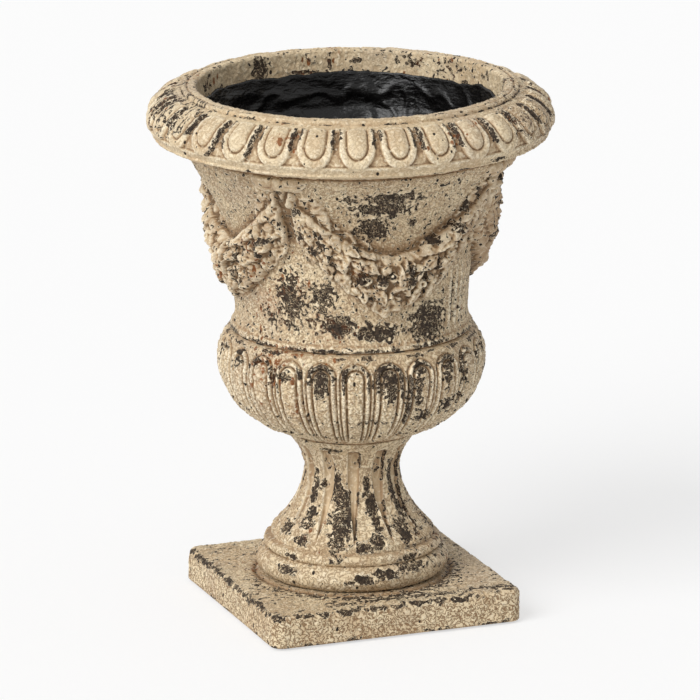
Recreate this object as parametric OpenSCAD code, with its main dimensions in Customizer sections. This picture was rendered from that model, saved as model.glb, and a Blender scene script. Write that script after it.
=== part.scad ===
// Footed garden urn, cast in sections and held together by a tie rod.
// Lengths are millimetres. The origin is on the floor under the middle of the square plinth.

/* [Plinth] */
// Side of the square plinth
plinth_w = 197; // [180:1:230]
// Thickness of the plinth
plinth_h = 24.5; // [22:0.5:40]
// Radius of the plinth's upright corners
plinth_corner_r = 8; // [5:0.5:16]
// Radius of the worn edge round the plinth's top
plinth_edge_r = 4; // [2:0.5:4.5]
// Depth of the plinth's socket for the pedestal
socket_d = 4; // [3:0.5:6]
// Radius of the pocket under the plinth for the lower nut
pocket_r = 17; // [15:0.5:24]
// Depth of the pocket under the plinth
pocket_d = 11.5; // [11:0.5:13]
// Radius of a felt pad
pad_r = 9; // [6:0.5:14]
// Thickness of a felt pad
pad_h = 1.5; // [1:0.25:3]
// Distance from the plinth's sides to the middle of a pad
pad_inset = 20; // [16:1:30]

/* [Pedestal] */
// Radius of the round foot moulding
foot_r = 72; // [66:0.5:84]
// Height of the round foot moulding
foot_h = 19; // [15:0.5:24]
// Height of the bead above the foot moulding
bead_h = 8; // [6:0.5:12]
// How far the bead stands back from the foot moulding
bead_in = 5.5; // [4:0.5:8]
// How far the lobes stand back from the bead
lobe_in = 6; // [4:0.5:9]
// Height of the stem, from the bead to the bowl
stem_h = 82; // [70:1:110]
// Height of the waist above the bead
waist_h = 54; // [44:1:60]
// Height of the plain upright band under the lobes
stem_band_h = 5; // [3:0.5:8]
// Radius of the stem at its waist
waist_r = 35.5; // [32:0.5:42]
// Number of lobes round the stem
lobes = 12; // [8:1:16]
// Depth of the flutes between the lobes
flute_d = 4; // [2:0.25:5]
// Width of a flute at the waist
flute_w = 7; // [5:0.5:9]
// Height of the plain collar at the top of the stem
collar_h = 8; // [5:0.5:12]
// How far the collar stands back from the bowl
collar_in = 1.5; // [1:0.25:4]
// Radius of the spigot under the pedestal
spigot_r = 40; // [30:1:48]

/* [Bowl] */
// Height of the bowl
bowl_h = 79; // [72:1:84]
// Radius of the bowl at its widest
bowl_r = 98.6; // [92:0.2:108]
// Height of the widest part above the bowl's foot
bulge_h = 56; // [52:0.5:60]
// Radius of the bowl's foot
bowl_foot_r = 50; // [46:0.5:56]
// Radius at which the bowl's curve is centred
bowl_core_r = 25; // [20:0.5:30]
// Half the height of the whole oval that the bowl is cut from
bowl_oval_h = 57.5; // [56:0.5:66]
// Thickness of the bowl's floor over its foot
floor_t = 26; // [24:0.5:32]
// Number of gadroons round the bowl
gadroons = 24; // [16:1:30]
// Depth of the grooves between the gadroons
gadroon_d = 2.4; // [1:0.2:3]
// Width of a gadroon at its arched top
gadroon_w = 20; // [14:0.5:21]
// Height of the plain band above the gadroons
bowl_band_h = 5; // [3:0.5:8]
// Radius of the boss under the bowl
boss_r = 20; // [17:0.5:23]
// Length of the boss under the bowl
boss_h = 8; // [6:0.5:14]

/* [Neck] */
// Height of the neck
neck_h = 139; // [128:1:160]
// Radius of the neck at its top, under the rim
neck_top_r = 124; // [118:0.5:128]
// How far the neck's foot stands back from the bowl's shoulder
shoulder_in = 2.5; // [1.5:0.25:4]
// How far the neck draws in above its foot
throat_in = 4; // [2:0.5:8]
// Height of the throat, the narrowest place, above the neck's foot
throat_h = 15; // [10:1:24]
// Height at which the upright part bends out into the flare
bend_h = 81; // [74:1:92]
// Height over which that bend is spread
bend_spread = 15; // [8:1:24]
// Outward lean of the upright part, in millimetres for each millimetre of height
lean = 0.06; // [0:0.01:0.12]

/* [Rim] */
// Height of the rim, from the neck to the top of the lip
rim_h = 43; // [40:0.5:50]
// Radius of the rim at its widest
rim_r = 150; // [144:0.5:160]
// Outer radius of the raised lip
lip_r = 124.5; // [120:0.5:128]
// Width of the lip's flat top
lip_w = 10.5; // [8:0.5:13]
// Height of the lip above the egg moulding
lip_h = 3.5; // [2:0.5:6]
// Width of the step between the lip and the egg moulding
lip_step = 1; // [0.5:0.25:3]
// Height of the rounded egg moulding above its widest place
ovolo_h = 22.5; // [19:0.5:25]
// Height of the fillet below the widest place
fillet_h = 10; // [8:0.5:11]
// How far the fillet draws in at its lower edge
fillet_in = 4.5; // [3:0.5:6]
// Number of eggs round the rim
eggs = 30; // [24:1:34]
// Width of an egg with its border
egg_w = 27; // [20:0.5:28]
// Width of the raised border round an egg
egg_border = 5; // [3:0.25:6]
// Height of the carving on the egg moulding
egg_d = 2.5; // [1:0.25:3]

/* [Garland] */
// Height above the neck's foot of the swag's upper edge, at its middle
swag_mid_top = 75; // [68:1:80]
// Height above the neck's foot of the swag's lower edge, at its middle
swag_mid_low = 31; // [26:1:40]
// Height above the neck's foot of the swag's upper edge, at its ends
swag_end_top = 125; // [114:0.5:126]
// Height above the neck's foot of the swag's lower edge, at its ends
swag_end_low = 88; // [80:1:98]
// How far the swag stands out at its middle
swag_out = 17.5; // [10:0.5:22]
// How far the swag stands out at its ends
swag_end_out = 10; // [6:0.5:14]
// Width of the channel between two neighbouring swags
swag_gap = 6; // [4:0.5:10]
// Rows of leaves on each half of a swag
leaf_rows = 5; // [3:1:7]
// Height of the step where one row of leaves overlaps the next
leaf_step = 3; // [0.5:0.25:4]
// How far the leaf tips reach towards the swag's middle, as a share of their distance from it
leaf_lean = 0.1; // [0:0.01:0.15]
// Radius of the round middle of a ribbon knot
knot_r = 5.5; // [4:0.25:6]
// Radius of the outer ends of a knot's two loops
knot_loop_r = 6; // [4:0.25:6.5]
// Width of a ribbon knot over its two loops
knot_w = 34; // [28:1:42]
// Gap between the knots and the upper ends of the swags
knot_gap = 1.5; // [0.5:0.25:2]

/* [Walls and lining] */
// Thickness of the cast walls
wall = 12; // [10:0.5:14]
// Thickness of the waterproof lining
liner_t = 1.5; // [1:0.25:3]
// Distance from the top of the lip down to the lining's edge
liner_drop = 17; // [10:1:28]

/* [Joints and fixings] */
// Thickness of the mortar beds between the sections
bed_t = 1; // [0.5:0.25:2]
// Clearance round the tongues and spigots
clear = 0.5; // [0.3:0.1:1]
// Height of the tongues that locate neck and rim
tongue_h = 5; // [3:0.5:8]
// Thickness of the tongues
tongue_t = 5; // [3:0.5:6]
// Gap left by the thin glue or coating under swags, knots and lining
glue_gap = 0.3; // [0.2:0.05:0.4]
// Diameter of the tie rod
rod_d = 8; // [6:0.5:10]
// Clearance round the rod in the cast holes
rod_clear = 1; // [0.5:0.25:2]
// Clearance between the rod and the holes of its nuts and washers
thread_clear = 0.1; // [0.05:0.05:0.2]
// Width of the nuts across their flats
nut_w = 13; // [12.5:0.5:16]
// Thickness of the nuts
nut_h = 6.5; // [5:0.5:8]
// Outer radius of the washers
washer_r = 12; // [10:0.5:14]
// Thickness of the washers
washer_h = 2; // [1:0.25:2.5]
// Thickness of the rubber sealing washer
seal_h = 2; // [1:0.25:3]
// How far the rod stands out of each nut
rod_end = 2; // [1:0.25:2.5]
// Radius of the plug that closes the bolt hole in the floor
plug_r = 20; // [16:0.5:24]
// Thickness of that plug
plug_h = 3; // [2:0.25:4]

/* [Turns] */
// Turn of the stem's lobes and the bowl's gadroons on the plinth
body_turn = -4; // [-15:0.5:15]
// Turn of the swags and knots
swag_turn = -1; // [-15:0.5:15]
// Turn of the rim's eggs
rim_turn = -0.8; // [-6:0.1:6]

/* [Hidden] */

$fn = 96;
round_fn = 20;
eps = 0.01;

// Heights at which the sections start
plinth_z = pad_h;
plinth_top_z = plinth_z + plinth_h;
pedestal_z = plinth_top_z + bed_t;
stem_z = pedestal_z + foot_h + bead_h;
bowl_bed_z = stem_z + stem_h;
bowl_z = bowl_bed_z + bed_t;
floor_z = bowl_z + floor_t;
neck_z = bowl_z + bowl_h + bed_t;
rim_z = neck_z + neck_h + bed_t;
top_z = rim_z + rim_h;

// How far the mortar reaches under the foot's rounded side
bed_lap = 2;

// Small roundings where the sections meet and along the lip
arris_r = 1.5;
lip_round_r = 2;

// Pedestal radii
bead_r = foot_r - bead_in;
lobe_r = bead_r - lobe_in;
collar_r = bowl_foot_r - collar_in;
flare_power = 2;

// Depth of a tongue's rebate, and of the bolt hole in the bowl's floor
rebate_h = tongue_h + clear;
bolt_stack_h = seal_h + washer_h + nut_h + rod_end;
bolt_hole_r = washer_r + 2;
bolt_hole_z = floor_z - plug_h - clear - bolt_stack_h;

// Lower nut and washer, under the web of the plinth
web_z = plinth_z + pocket_d;
rod_low_z = web_z - washer_h - nut_h - rod_end;
rod_top_z = bolt_hole_z + bolt_stack_h;

// Steps of the plain turned outlines
bowl_steps = 9;
neck_steps = 20;
flare_steps = 5;
upper_stem_steps = 3;

function mix(a, b, t) = a + (b - a) * t;
function polar(r, a, z) = [r * cos(a), r * sin(a), z];
function degrees_of(width, r) = width / r * 180 / PI;

// Radius of the stem's ridges at height h above the bead
function stem_r(h) =
    h < stem_band_h ? lobe_r
    : h < waist_h ? waist_r + (lobe_r - waist_r) * pow((waist_h - h) / (waist_h - stem_band_h), flare_power)
    : waist_r + (collar_r - waist_r) * pow((h - waist_h) / (stem_h - waist_h), flare_power);

// Radius of the bowl's outside, and of its hollow, at height h above its foot
function oval_r(h, inset) =
    let (rise = (h - bulge_h) / (bowl_oval_h - inset))
    bowl_core_r + (bowl_r - bowl_core_r - inset) * sqrt(max(0, 1 - rise * rise));
function bowl_out_r(h) = max(bowl_foot_r, oval_r(h, 0));
bowl_top_r = bowl_out_r(bowl_h);
neck_foot_r = bowl_top_r - shoulder_in;
throat_r = neck_foot_r - throat_in;

// Radius of the neck's outside at height h above its foot
function bend_rise(h) = (sqrt(pow(h - bend_h, 2) + pow(bend_spread, 2)) + h - bend_h) / 2;
flare_slope = (neck_top_r - throat_r - lean * (neck_h - throat_h))
    / (bend_rise(neck_h) - bend_rise(throat_h));
function neck_r(h) =
    h < throat_h ? throat_r + throat_in * pow(1 - h / throat_h, flare_power)
    : throat_r + lean * (h - throat_h) + flare_slope * (bend_rise(h) - bend_rise(throat_h));

// Radii of the hollow
neck_foot_bore_r = neck_foot_r - wall;
neck_top_bore_r = neck_top_r - wall;
lip_bore_r = lip_r - lip_w;
function bowl_bore_r(h) = min(oval_r(h, wall), h > bowl_h - rebate_h ? neck_foot_bore_r : bowl_r);
function rim_bore_r(h) = mix(neck_top_bore_r, lip_bore_r, h / (rim_h - lip_round_r));

// The egg moulding is part of an oval, from the lip's step to the rim's widest place
ovolo_top_h = rim_h - lip_h;
ovolo_mid_h = ovolo_top_h - ovolo_h;
ovolo_start = 20;
ovolo_stop = 94;
ovolo_half_h = ovolo_h / cos(ovolo_start);
ovolo_half_w = (rim_r - lip_r - lip_step) / (1 - sin(ovolo_start));
function ovolo(angle, out) = [
    rim_r - ovolo_half_w + (ovolo_half_w + out) * sin(angle),
    ovolo_mid_h + (ovolo_half_h + out) * cos(angle)
];

// Half the width of a tongue shape, at a distance from its rounded end
function tongue_half(half, dist) = dist >= half ? half : sqrt(max(0, half * half - pow(half - dist, 2)));

// A closed skin over a grid of points. Each column is a list of points that runs from the outside
// top to the outside bottom. The columns go round the axis. The rows close into a ring, or end in
// a flat cap above and below.
module grid_ring(columns, ring) {
    rows = len(columns[0]);
    count = len(columns);
    last = ring ? rows - 1 : rows - 2;
    sides = [
        for (i = [0:count - 1], j = [0:last])
            let (a = i * rows + j, b = ((i + 1) % count) * rows + j)
            let (c = ((i + 1) % count) * rows + (j + 1) % rows, d = i * rows + (j + 1) % rows)
            each [[a, b, c], [a, c, d]]
    ];
    caps = ring ? [] : [
        [for (i = [count - 1:-1:0]) i * rows],
        [for (i = [0:count - 1]) i * rows + rows - 1]
    ];
    polyhedron([for (column = columns) each column], concat(sides, caps), convexity = 6);
}

// Flat ring
module washer_shape(r, hole_r, h) {
    difference() {
        cylinder(r = r, h = h);
        translate([0, 0, -1])
            cylinder(r = hole_r, h = h + 2);
    }
}

// Square outline with round corners
module rounded_square(side, corner_r) {
    square([side, side - 2 * corner_r], center = true);
    square([side - 2 * corner_r, side], center = true);
    for (x = [-1, 1], y = [-1, 1])
        translate([x, y] * (side / 2 - corner_r))
            circle(corner_r);
}

module base_pads() {
    reach = plinth_w / 2 - pad_inset;
    color("dimgray")
        for (x = [-1, 1], y = [-1, 1])
            translate([x * reach, y * reach, 0])
                cylinder(r = pad_r, h = pad_h);
}

// Side view of the plinth's rounded top edge, a quarter of a disc
module edge_quarter() {
    intersection() {
        circle(plinth_edge_r);
        square(plinth_edge_r);
    }
}

// Square slab with a rounded top edge, a socket above and a pocket for the nut below
module plinth() {
    straight_h = plinth_h - plinth_edge_r;
    edge_reach = plinth_w / 2 - plinth_edge_r;
    corner_reach = plinth_w / 2 - plinth_corner_r;
    color("tan")
        translate([0, 0, plinth_z])
            difference() {
                union() {
                    linear_extrude(straight_h)
                        rounded_square(plinth_w, plinth_corner_r);
                    linear_extrude(plinth_h)
                        rounded_square(2 * edge_reach, plinth_corner_r - plinth_edge_r);
                    for (side = [0:3])
                        rotate([0, 0, 90 * side]) {
                            translate([edge_reach, corner_reach, straight_h])
                                rotate([90, 0, 0])
                                    linear_extrude(2 * corner_reach)
                                        edge_quarter();
                            translate([corner_reach, corner_reach, straight_h])
                                rotate_extrude()
                                    translate([plinth_corner_r - plinth_edge_r, 0])
                                        edge_quarter();
                        }
                }
                translate([0, 0, plinth_h - socket_d])
                    cylinder(r = spigot_r + clear, h = socket_d + 1);
                translate([0, 0, -1])
                    cylinder(r = pocket_r, h = pocket_d + 1);
                cylinder(r = rod_d / 2 + rod_clear, h = plinth_h);
            }
}

module plinth_bed() {
    color("gray")
        translate([0, 0, plinth_top_z])
            washer_shape(foot_r - foot_h / 2 + bed_lap, spigot_r + clear, bed_t);
}

// Columns of the lobed stem: the middle of a flute, its two edges, and three lines on each lobe
flute_lines = [0, 0.14, 0.32, 0.5, 0.68, 0.86];
stem_heights = [
    -1,
    for (i = [0:flare_steps]) mix(stem_band_h, waist_h, i / flare_steps),
    for (i = [1:upper_stem_steps]) mix(waist_h, stem_h - collar_h, i / upper_stem_steps),
    stem_h
];
flute_point_h = 20;
flute_point_half = 0.3;
flute_edge_max = 0.3;
lobe_chamfer = 0.8;
lobe_flat = 0.2;
fade_top_h = 3;
fade_low_h = 6;
function flute_half(h) = flute_w / 2 * min(1, max(0, h - stem_band_h) / flute_point_h) + flute_point_half;
function lobe_point(k, line, h) =
    let (pitch = 360 / lobes, half = degrees_of(flute_half(h), stem_r(h)) / pitch)
    let (edge = min(flute_edge_max, half), at = flute_lines[line])
    let (fraction = line == 0 ? 0 : line == 1 ? edge : line == 5 ? 1 - edge : at)
    let (fade_top = min(1, max(0, (stem_h - collar_h - h + fade_top_h) / fade_top_h)))
    let (fade = fade_top * min(1, max(0, h - stem_band_h) / fade_low_h))
    let (is_edge = line == 1 || line == 5)
    let (cut = line == 0 ? flute_d * fade : line == 3 ? 0 : is_edge ? lobe_chamfer * fade : lobe_flat)
    polar(stem_r(h) - cut, pitch * (k + fraction - 0.5), h);

// Round foot moulding, bead and lobed stem in one casting, bored for the rod
module pedestal() {
    columns = [
        for (k = [0:lobes - 1], line = [0:5])
            [for (i = [len(stem_heights) - 1:-1:0]) lobe_point(k, line, stem_heights[i])]
    ];
    color("wheat")
        translate([0, 0, pedestal_z])
            difference() {
                union() {
                    rotate_extrude() {
                        square([foot_r - foot_h / 2, foot_h]);
                        translate([foot_r - foot_h / 2, foot_h / 2])
                            circle(foot_h / 2);
                        translate([0, foot_h - eps])
                            square([bead_r - bead_h / 2, bead_h + eps]);
                        translate([bead_r - bead_h / 2, foot_h + bead_h / 2])
                            circle(bead_h / 2);
                    }
                    translate([0, 0, foot_h + bead_h])
                        rotate([0, 0, body_turn])
                            grid_ring(columns, false);
                    translate([0, 0, bed_t + clear - socket_d])
                        cylinder(r = spigot_r, h = socket_d);
                }
                translate([0, 0, foot_h + bead_h + stem_h - boss_h])
                    cylinder(r = boss_r + clear, h = boss_h + 1);
                translate([0, 0, -socket_d])
                    cylinder(r = rod_d / 2 + rod_clear, h = foot_h + bead_h + stem_h + socket_d);
            }
}

module bowl_bed() {
    color("gray")
        translate([0, 0, bowl_bed_z])
            washer_shape(collar_r - arris_r, boss_r + clear, bed_t);
}

// Columns of a gadroon: the dart between two, the groove beside it, the raised border and the panel
gadroon_lines = 6;
gadroon_rows = [0, 0.04, 0.1, 0.2, 0.34, 0.5, 0.66, 0.82, 1];
gadroon_top_h = bowl_h - bowl_band_h;
gadroon_low_h = 3;
gadroon_edge_max = 0.44;
gadroon_panel = 0.6;
gadroon_tip = 0.4;
function gadroon_point(k, line, h) =
    let (pitch = 360 / gadroons, shrink = oval_r(h, 0) / bowl_r)
    let (half = tongue_half(gadroon_w / 2 * shrink, gadroon_top_h - h + gadroon_tip))
    let (edge = min(gadroon_edge_max, degrees_of(half, bowl_out_r(h)) / pitch))
    let (inner = edge * gadroon_panel)
    let (fraction = [-0.5, -edge, -inner, 0, inner, edge][line])
    let (cut = [0.5, 1, 0, 0.3, 0, 1][line] * gadroon_d)
    polar(bowl_out_r(h) - cut, pitch * (k + fraction), h);
function bowl_column(k, line) =
    let (first = gadroon_point(k, line, gadroon_top_h), a = atan2(first.y, first.x))
    concat(
        [polar(bowl_top_r - arris_r, a, bowl_h), polar(bowl_top_r, a, bowl_h - arris_r)],
        [for (t = gadroon_rows) gadroon_point(k, line, mix(gadroon_top_h, gadroon_low_h, t))],
        [let (low = gadroon_point(k, line, gadroon_low_h), b = atan2(low.y, low.x)) polar(bowl_foot_r, b, 0)]
    );

// Gadrooned bowl with a thick floor, a boss below and a bolt hole sunk into the floor
module bowl() {
    hollow = [
        [0, floor_t],
        for (i = [0:bowl_steps])
            let (h = mix(floor_t, bowl_h - rebate_h, i / bowl_steps)) [oval_r(h, wall), h],
        [oval_r(bowl_h, wall), bowl_h + 1],
        [0, bowl_h + 1]
    ];
    columns = [for (k = [0:gadroons - 1], line = [0:gadroon_lines - 1]) bowl_column(k, line)];
    color("burlywood")
        translate([0, 0, bowl_z])
            difference() {
                union() {
                    rotate([0, 0, body_turn])
                        grid_ring(columns, false);
                    translate([0, 0, bed_t + clear - boss_h - bed_t])
                        cylinder(r = boss_r, h = boss_h);
                }
                rotate_extrude()
                    polygon(hollow);
                translate([0, 0, bowl_h - rebate_h])
                    cylinder(r = neck_foot_bore_r + tongue_t + clear, h = rebate_h + 1);
                translate([0, 0, floor_t - plug_h])
                    cylinder(r = plug_r + clear, h = plug_h + 1);
                translate([0, 0, bolt_hole_z - bowl_z])
                    cylinder(r = bolt_hole_r, h = floor_t);
                translate([0, 0, -boss_h])
                    cylinder(r = rod_d / 2 + rod_clear, h = boss_h + floor_t);
            }
}

module shoulder_bed() {
    color("gray")
        translate([0, 0, neck_z - bed_t])
            washer_shape(neck_foot_r - arris_r, neck_foot_bore_r + tongue_t + clear, bed_t);
}

// Outline of the neck's outside, from its foot to its top, moved out by a gap
function neck_outline(gap) = [
    for (i = [0:neck_steps]) let (h = mix(0, neck_h, i / neck_steps)) [neck_r(h) + gap, h]
];

// Outline of the neck's hollow, from its top to its foot
neck_hollow = [
    for (i = [neck_steps:-1:0])
        let (h = mix(0, neck_h, i / neck_steps))
        [neck_r(h) - wall, h]
];

// Bell-shaped neck with a tongue at each end
module neck() {
    color("khaki")
        translate([0, 0, neck_z])
            rotate_extrude() {
                polygon(concat(neck_outline(0), neck_hollow));
                translate([neck_foot_bore_r, -bed_t - tongue_h])
                    square([tongue_t, bed_t + tongue_h + eps]);
                translate([neck_top_bore_r, neck_h - eps])
                    square([tongue_t, bed_t + tongue_h + eps]);
            }
}

module rim_bed() {
    color("gray")
        translate([0, 0, rim_z - bed_t])
            washer_shape(neck_top_r - arris_r, neck_top_bore_r + tongue_t + clear, bed_t);
}

// Columns of the egg moulding: the dart between two eggs, the outer and inner line of the border,
// and the middle of the egg. The rows run down the moulding.
egg_lines = 6;
egg_turns = [24, 34, 46, 58, 70, 80, 88, 95];
egg_low_turn = 97;
egg_edge_max = 0.46;
egg_core = 0.12;
egg_root = -2 * egg_d;
egg_root_turns = [26, 100];
egg_ground = -1.1 * egg_d;
function egg_point(k, line, turn) =
    let (pitch = 360 / eggs, ground = ovolo(turn, 0))
    let (dist = (egg_low_turn - turn) / 180 * PI * ovolo_half_h)
    let (outer = tongue_half(egg_w / 2, dist), inner = tongue_half(egg_w / 2 - egg_border, dist - egg_border))
    let (a = min(egg_edge_max, degrees_of(outer, ground.x) / pitch), b = degrees_of(inner, ground.x) / pitch)
    let (core = max(b, egg_core), fraction = [-0.5, -a, -core, 0, core, a][line])
    let (out = [-1, -0.1, -0.6, b > egg_core ? 0 : -0.3, -0.6, -0.1][line] * egg_d)
    let (p = ovolo(turn, out))
    polar(p.x, pitch * (k + fraction), p.y);
function egg_column(k, line) =
    let (top = ovolo(egg_root_turns[0], egg_root), low = ovolo(egg_root_turns[1], egg_root))
    let (pitch = 360 / eggs, start = egg_point(k, line, egg_turns[0]), a = atan2(start.y, start.x))
    let (stop = egg_point(k, line, egg_turns[len(egg_turns) - 1]), b = atan2(stop.y, stop.x))
    concat(
        [polar(top.x, a, top.y)],
        [for (turn = egg_turns) egg_point(k, line, turn)],
        [polar(low.x, b, low.y)]
    );

// Rim with a raised lip, an egg moulding and a rebate for the neck's tongue
module rim() {
    rebate_r = neck_top_bore_r + tongue_t + clear;
    outline = concat(
        [[rebate_r, 0], [rebate_r, rebate_h], [rim_bore_r(rebate_h), rebate_h]],
        [[lip_bore_r, rim_h - lip_round_r], [lip_bore_r + lip_round_r, rim_h]],
        [[lip_r - lip_round_r, rim_h], [lip_r, rim_h - lip_round_r], [lip_r, ovolo_top_h]],
        [ovolo(ovolo_start, 0)],
        [for (turn = [ovolo_start + 8:10:ovolo_stop]) ovolo(turn, egg_ground)],
        [ovolo(ovolo_stop, 0), [rim_r - fillet_in, ovolo_mid_h - fillet_h], [neck_top_r, 0]]
    );
    columns = [for (k = [0:eggs - 1], line = [0:egg_lines - 1]) egg_column(k, line)];
    color("wheat")
        translate([0, 0, rim_z]) {
            rotate_extrude()
                polygon(outline);
            rotate([0, 0, rim_turn])
                grid_ring(columns, true);
        }
}

// Outline of the pot's hollow from the floor's edge up, as radius and height above the plinth's floor
cavity = concat(
    [
        for (i = [0:bowl_steps])
            let (h = mix(floor_t, bowl_h - rebate_h, i / bowl_steps)) [oval_r(h, wall), bowl_z + h]
    ],
    [[bowl_bore_r(bowl_h), neck_z - bed_t - tongue_h - clear]],
    [for (i = [neck_steps:-1:0]) let (p = neck_hollow[i]) [p.x, neck_z + p.y]],
    [
        [min(neck_top_bore_r, rim_bore_r(rebate_h)), rim_z + rebate_h],
        [rim_bore_r(rim_h - liner_drop), top_z - liner_drop]
    ]
);

// Waterproof lining brushed on after the urn is bolted up
module liner() {
    inset = glue_gap + liner_t;
    last = len(cavity) - 1;
    outside = [for (p = cavity) [p.x - glue_gap, p.y]];
    inside = [for (i = [last:-1:1]) [cavity[i].x - inset, cavity[i].y]];
    color([0.12, 0.12, 0.12])
        rotate_extrude()
            polygon(concat(
                [[0, floor_z + glue_gap]],
                [[outside[0].x, floor_z + glue_gap]],
                [for (i = [1:last]) outside[i]],
                inside,
                [[cavity[0].x - inset, floor_z + inset], [0, floor_z + inset]]
            ));
}

module floor_plug() {
    color("gray")
        translate([0, 0, floor_z - plug_h])
            cylinder(r = plug_r, h = plug_h);
}

module seal_washer() {
    color("black")
        translate([0, 0, bolt_hole_z])
            washer_shape(washer_r, rod_d / 2 + thread_clear, seal_h);
}

module top_washer() {
    color("silver")
        translate([0, 0, bolt_hole_z + seal_h])
            washer_shape(washer_r, rod_d / 2 + thread_clear, washer_h);
}

module bottom_washer() {
    color("silver")
        translate([0, 0, web_z - washer_h])
            washer_shape(washer_r, rod_d / 2 + thread_clear, washer_h);
}

// Hexagon nut standing on its lower face
module nut() {
    difference() {
        cylinder(d = nut_w / cos(30), h = nut_h, $fn = 6);
        translate([0, 0, -1])
            cylinder(r = rod_d / 2 + thread_clear, h = nut_h + 2);
    }
}

module top_nut() {
    color("silver")
        translate([0, 0, bolt_hole_z + seal_h + washer_h])
            nut();
}

module bottom_nut() {
    color("silver")
        translate([0, 0, web_z - washer_h - nut_h])
            nut();
}

module tie_rod() {
    color("lightgray")
        translate([0, 0, rod_low_z])
            cylinder(d = rod_d, h = rod_top_z - rod_low_z);
}

// Edges of a swag, as heights above the neck's foot, where t runs from -1 to 1 between its ends
swag_top_power = 1.7;
swag_low_power = 1.8;
swag_rows = 6;
swag_edge = 0.6;
swag_round = 0.6;
swag_crest_up = 0.75;
swag_end_t = 0.95;
function swag_top(t) = mix(swag_mid_top, swag_end_top, pow(abs(t), swag_top_power));
function swag_low(t) = mix(swag_mid_low, swag_end_low, pow(abs(t), swag_low_power));
swag_span = 45 - degrees_of(swag_gap / 2, neck_r(swag_end_top));

// Places along a swag: each row of leaves swells towards its tips and then steps down
leaf_places = [0.04, 0.5, 0.96];
swag_half_places = [for (n = [0:leaf_rows - 1], f = leaf_places) (n + f) / leaf_rows];
swag_places = concat(
    [for (i = [len(swag_half_places) - 1:-1:0]) -swag_half_places[i]],
    swag_half_places
);
function leaf_swell(t) = let (f = abs(t) * leaf_rows) 1 - (f - floor(f));
function swag_point(t, v, out) =
    let (along = t * (1 - (abs(t) < swag_end_t ? leaf_lean * sin(180 * v) : 0)))
    let (h = mix(swag_top(along), swag_low(along), v))
    let (thick = mix(swag_out, swag_end_out, abs(t)) + leaf_step * (leaf_swell(t) - 0.5))
    let (bulge = swag_edge + thick * pow(sin(180 * pow(v, swag_crest_up)), swag_round))
    polar(neck_r(h) + glue_gap + out * bulge, swag_span * along, h);

// Leaf swag, a closed skin whose back follows the neck
module swag(turn) {
    cols = len(swag_places);
    half = cols * (swag_rows + 1);
    rows = swag_rows + 1;
    points = [
        for (out = [1, 0], t = swag_places, j = [0:swag_rows]) swag_point(t, j / swag_rows, out)
    ];
    front = [
        for (i = [0:cols - 2], j = [0:swag_rows - 1])
            let (a = i * rows + j, b = a + rows)
            each [[a, b, b + 1], [a, b + 1, a + 1]]
    ];
    back = [for (f = front) [half + f[2], half + f[1], half + f[0]]];
    long_edges = [
        for (i = [0:cols - 2])
            let (a = i * rows, b = a + rows, c = a + swag_rows, d = b + swag_rows)
            each [
                [a, half + a, half + b], [a, half + b, b],
                [c, d, half + d], [c, half + d, half + c]
            ]
    ];
    ends = [
        for (j = [0:swag_rows - 1])
            let (z = (cols - 1) * rows + j)
            each [
                [j, j + 1, half + j + 1], [j, half + j + 1, half + j],
                [z, half + z, half + z + 1], [z, half + z + 1, z + 1]
            ]
    ];
    color("burlywood")
        translate([0, 0, neck_z])
            rotate([0, 0, turn + swag_turn])
                polyhedron(points, concat(front, back, long_edges, ends), convexity = 6);
}

module swag_front() { swag(-90); }
module swag_right() { swag(0); }
module swag_back() { swag(90); }
module swag_left() { swag(180); }

// Ribbon knot: a round middle with a loop to each side, cut to the neck behind it
knot_h = swag_end_top + knot_gap + max(knot_r, knot_loop_r);
module knot(turn) {
    loop_in_r = knot_r / 2;
    color("tan")
        rotate([0, 0, turn + swag_turn])
            difference() {
                translate([neck_r(knot_h), 0, neck_z + knot_h]) {
                    translate([knot_r / 2, 0, 0])
                        sphere(knot_r);
                    for (side = [-1, 1])
                        hull() {
                            translate([loop_in_r, side * loop_in_r, 0])
                                sphere(loop_in_r, $fn = round_fn);
                            translate([0, side * (knot_w / 2 - knot_loop_r), 0])
                                sphere(knot_loop_r, $fn = round_fn);
                        }
                }
                translate([0, 0, neck_z])
                    rotate_extrude()
                        polygon(concat([[0, 0]], neck_outline(glue_gap), [[0, neck_h]]));
            }
}

module knot_front_left() { knot(-135); }
module knot_front_right() { knot(-45); }
module knot_back_right() { knot(45); }
module knot_back_left() { knot(135); }

base_pads();
plinth();
plinth_bed();
pedestal();
bowl_bed();
bowl();
shoulder_bed();
neck();
rim_bed();
rim();
liner();
floor_plug();
seal_washer();
top_washer();
top_nut();
tie_rod();
bottom_washer();
bottom_nut();
swag_front();
swag_right();
swag_back();
swag_left();
knot_front_left();
knot_front_right();
knot_back_right();
knot_back_left();
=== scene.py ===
"""Looks of a footed garden urn: a distressed cream cast with a black lining, on a pale studio floor."""

import functools
import math

import bpy
import numpy as np
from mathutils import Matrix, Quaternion, Vector


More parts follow.
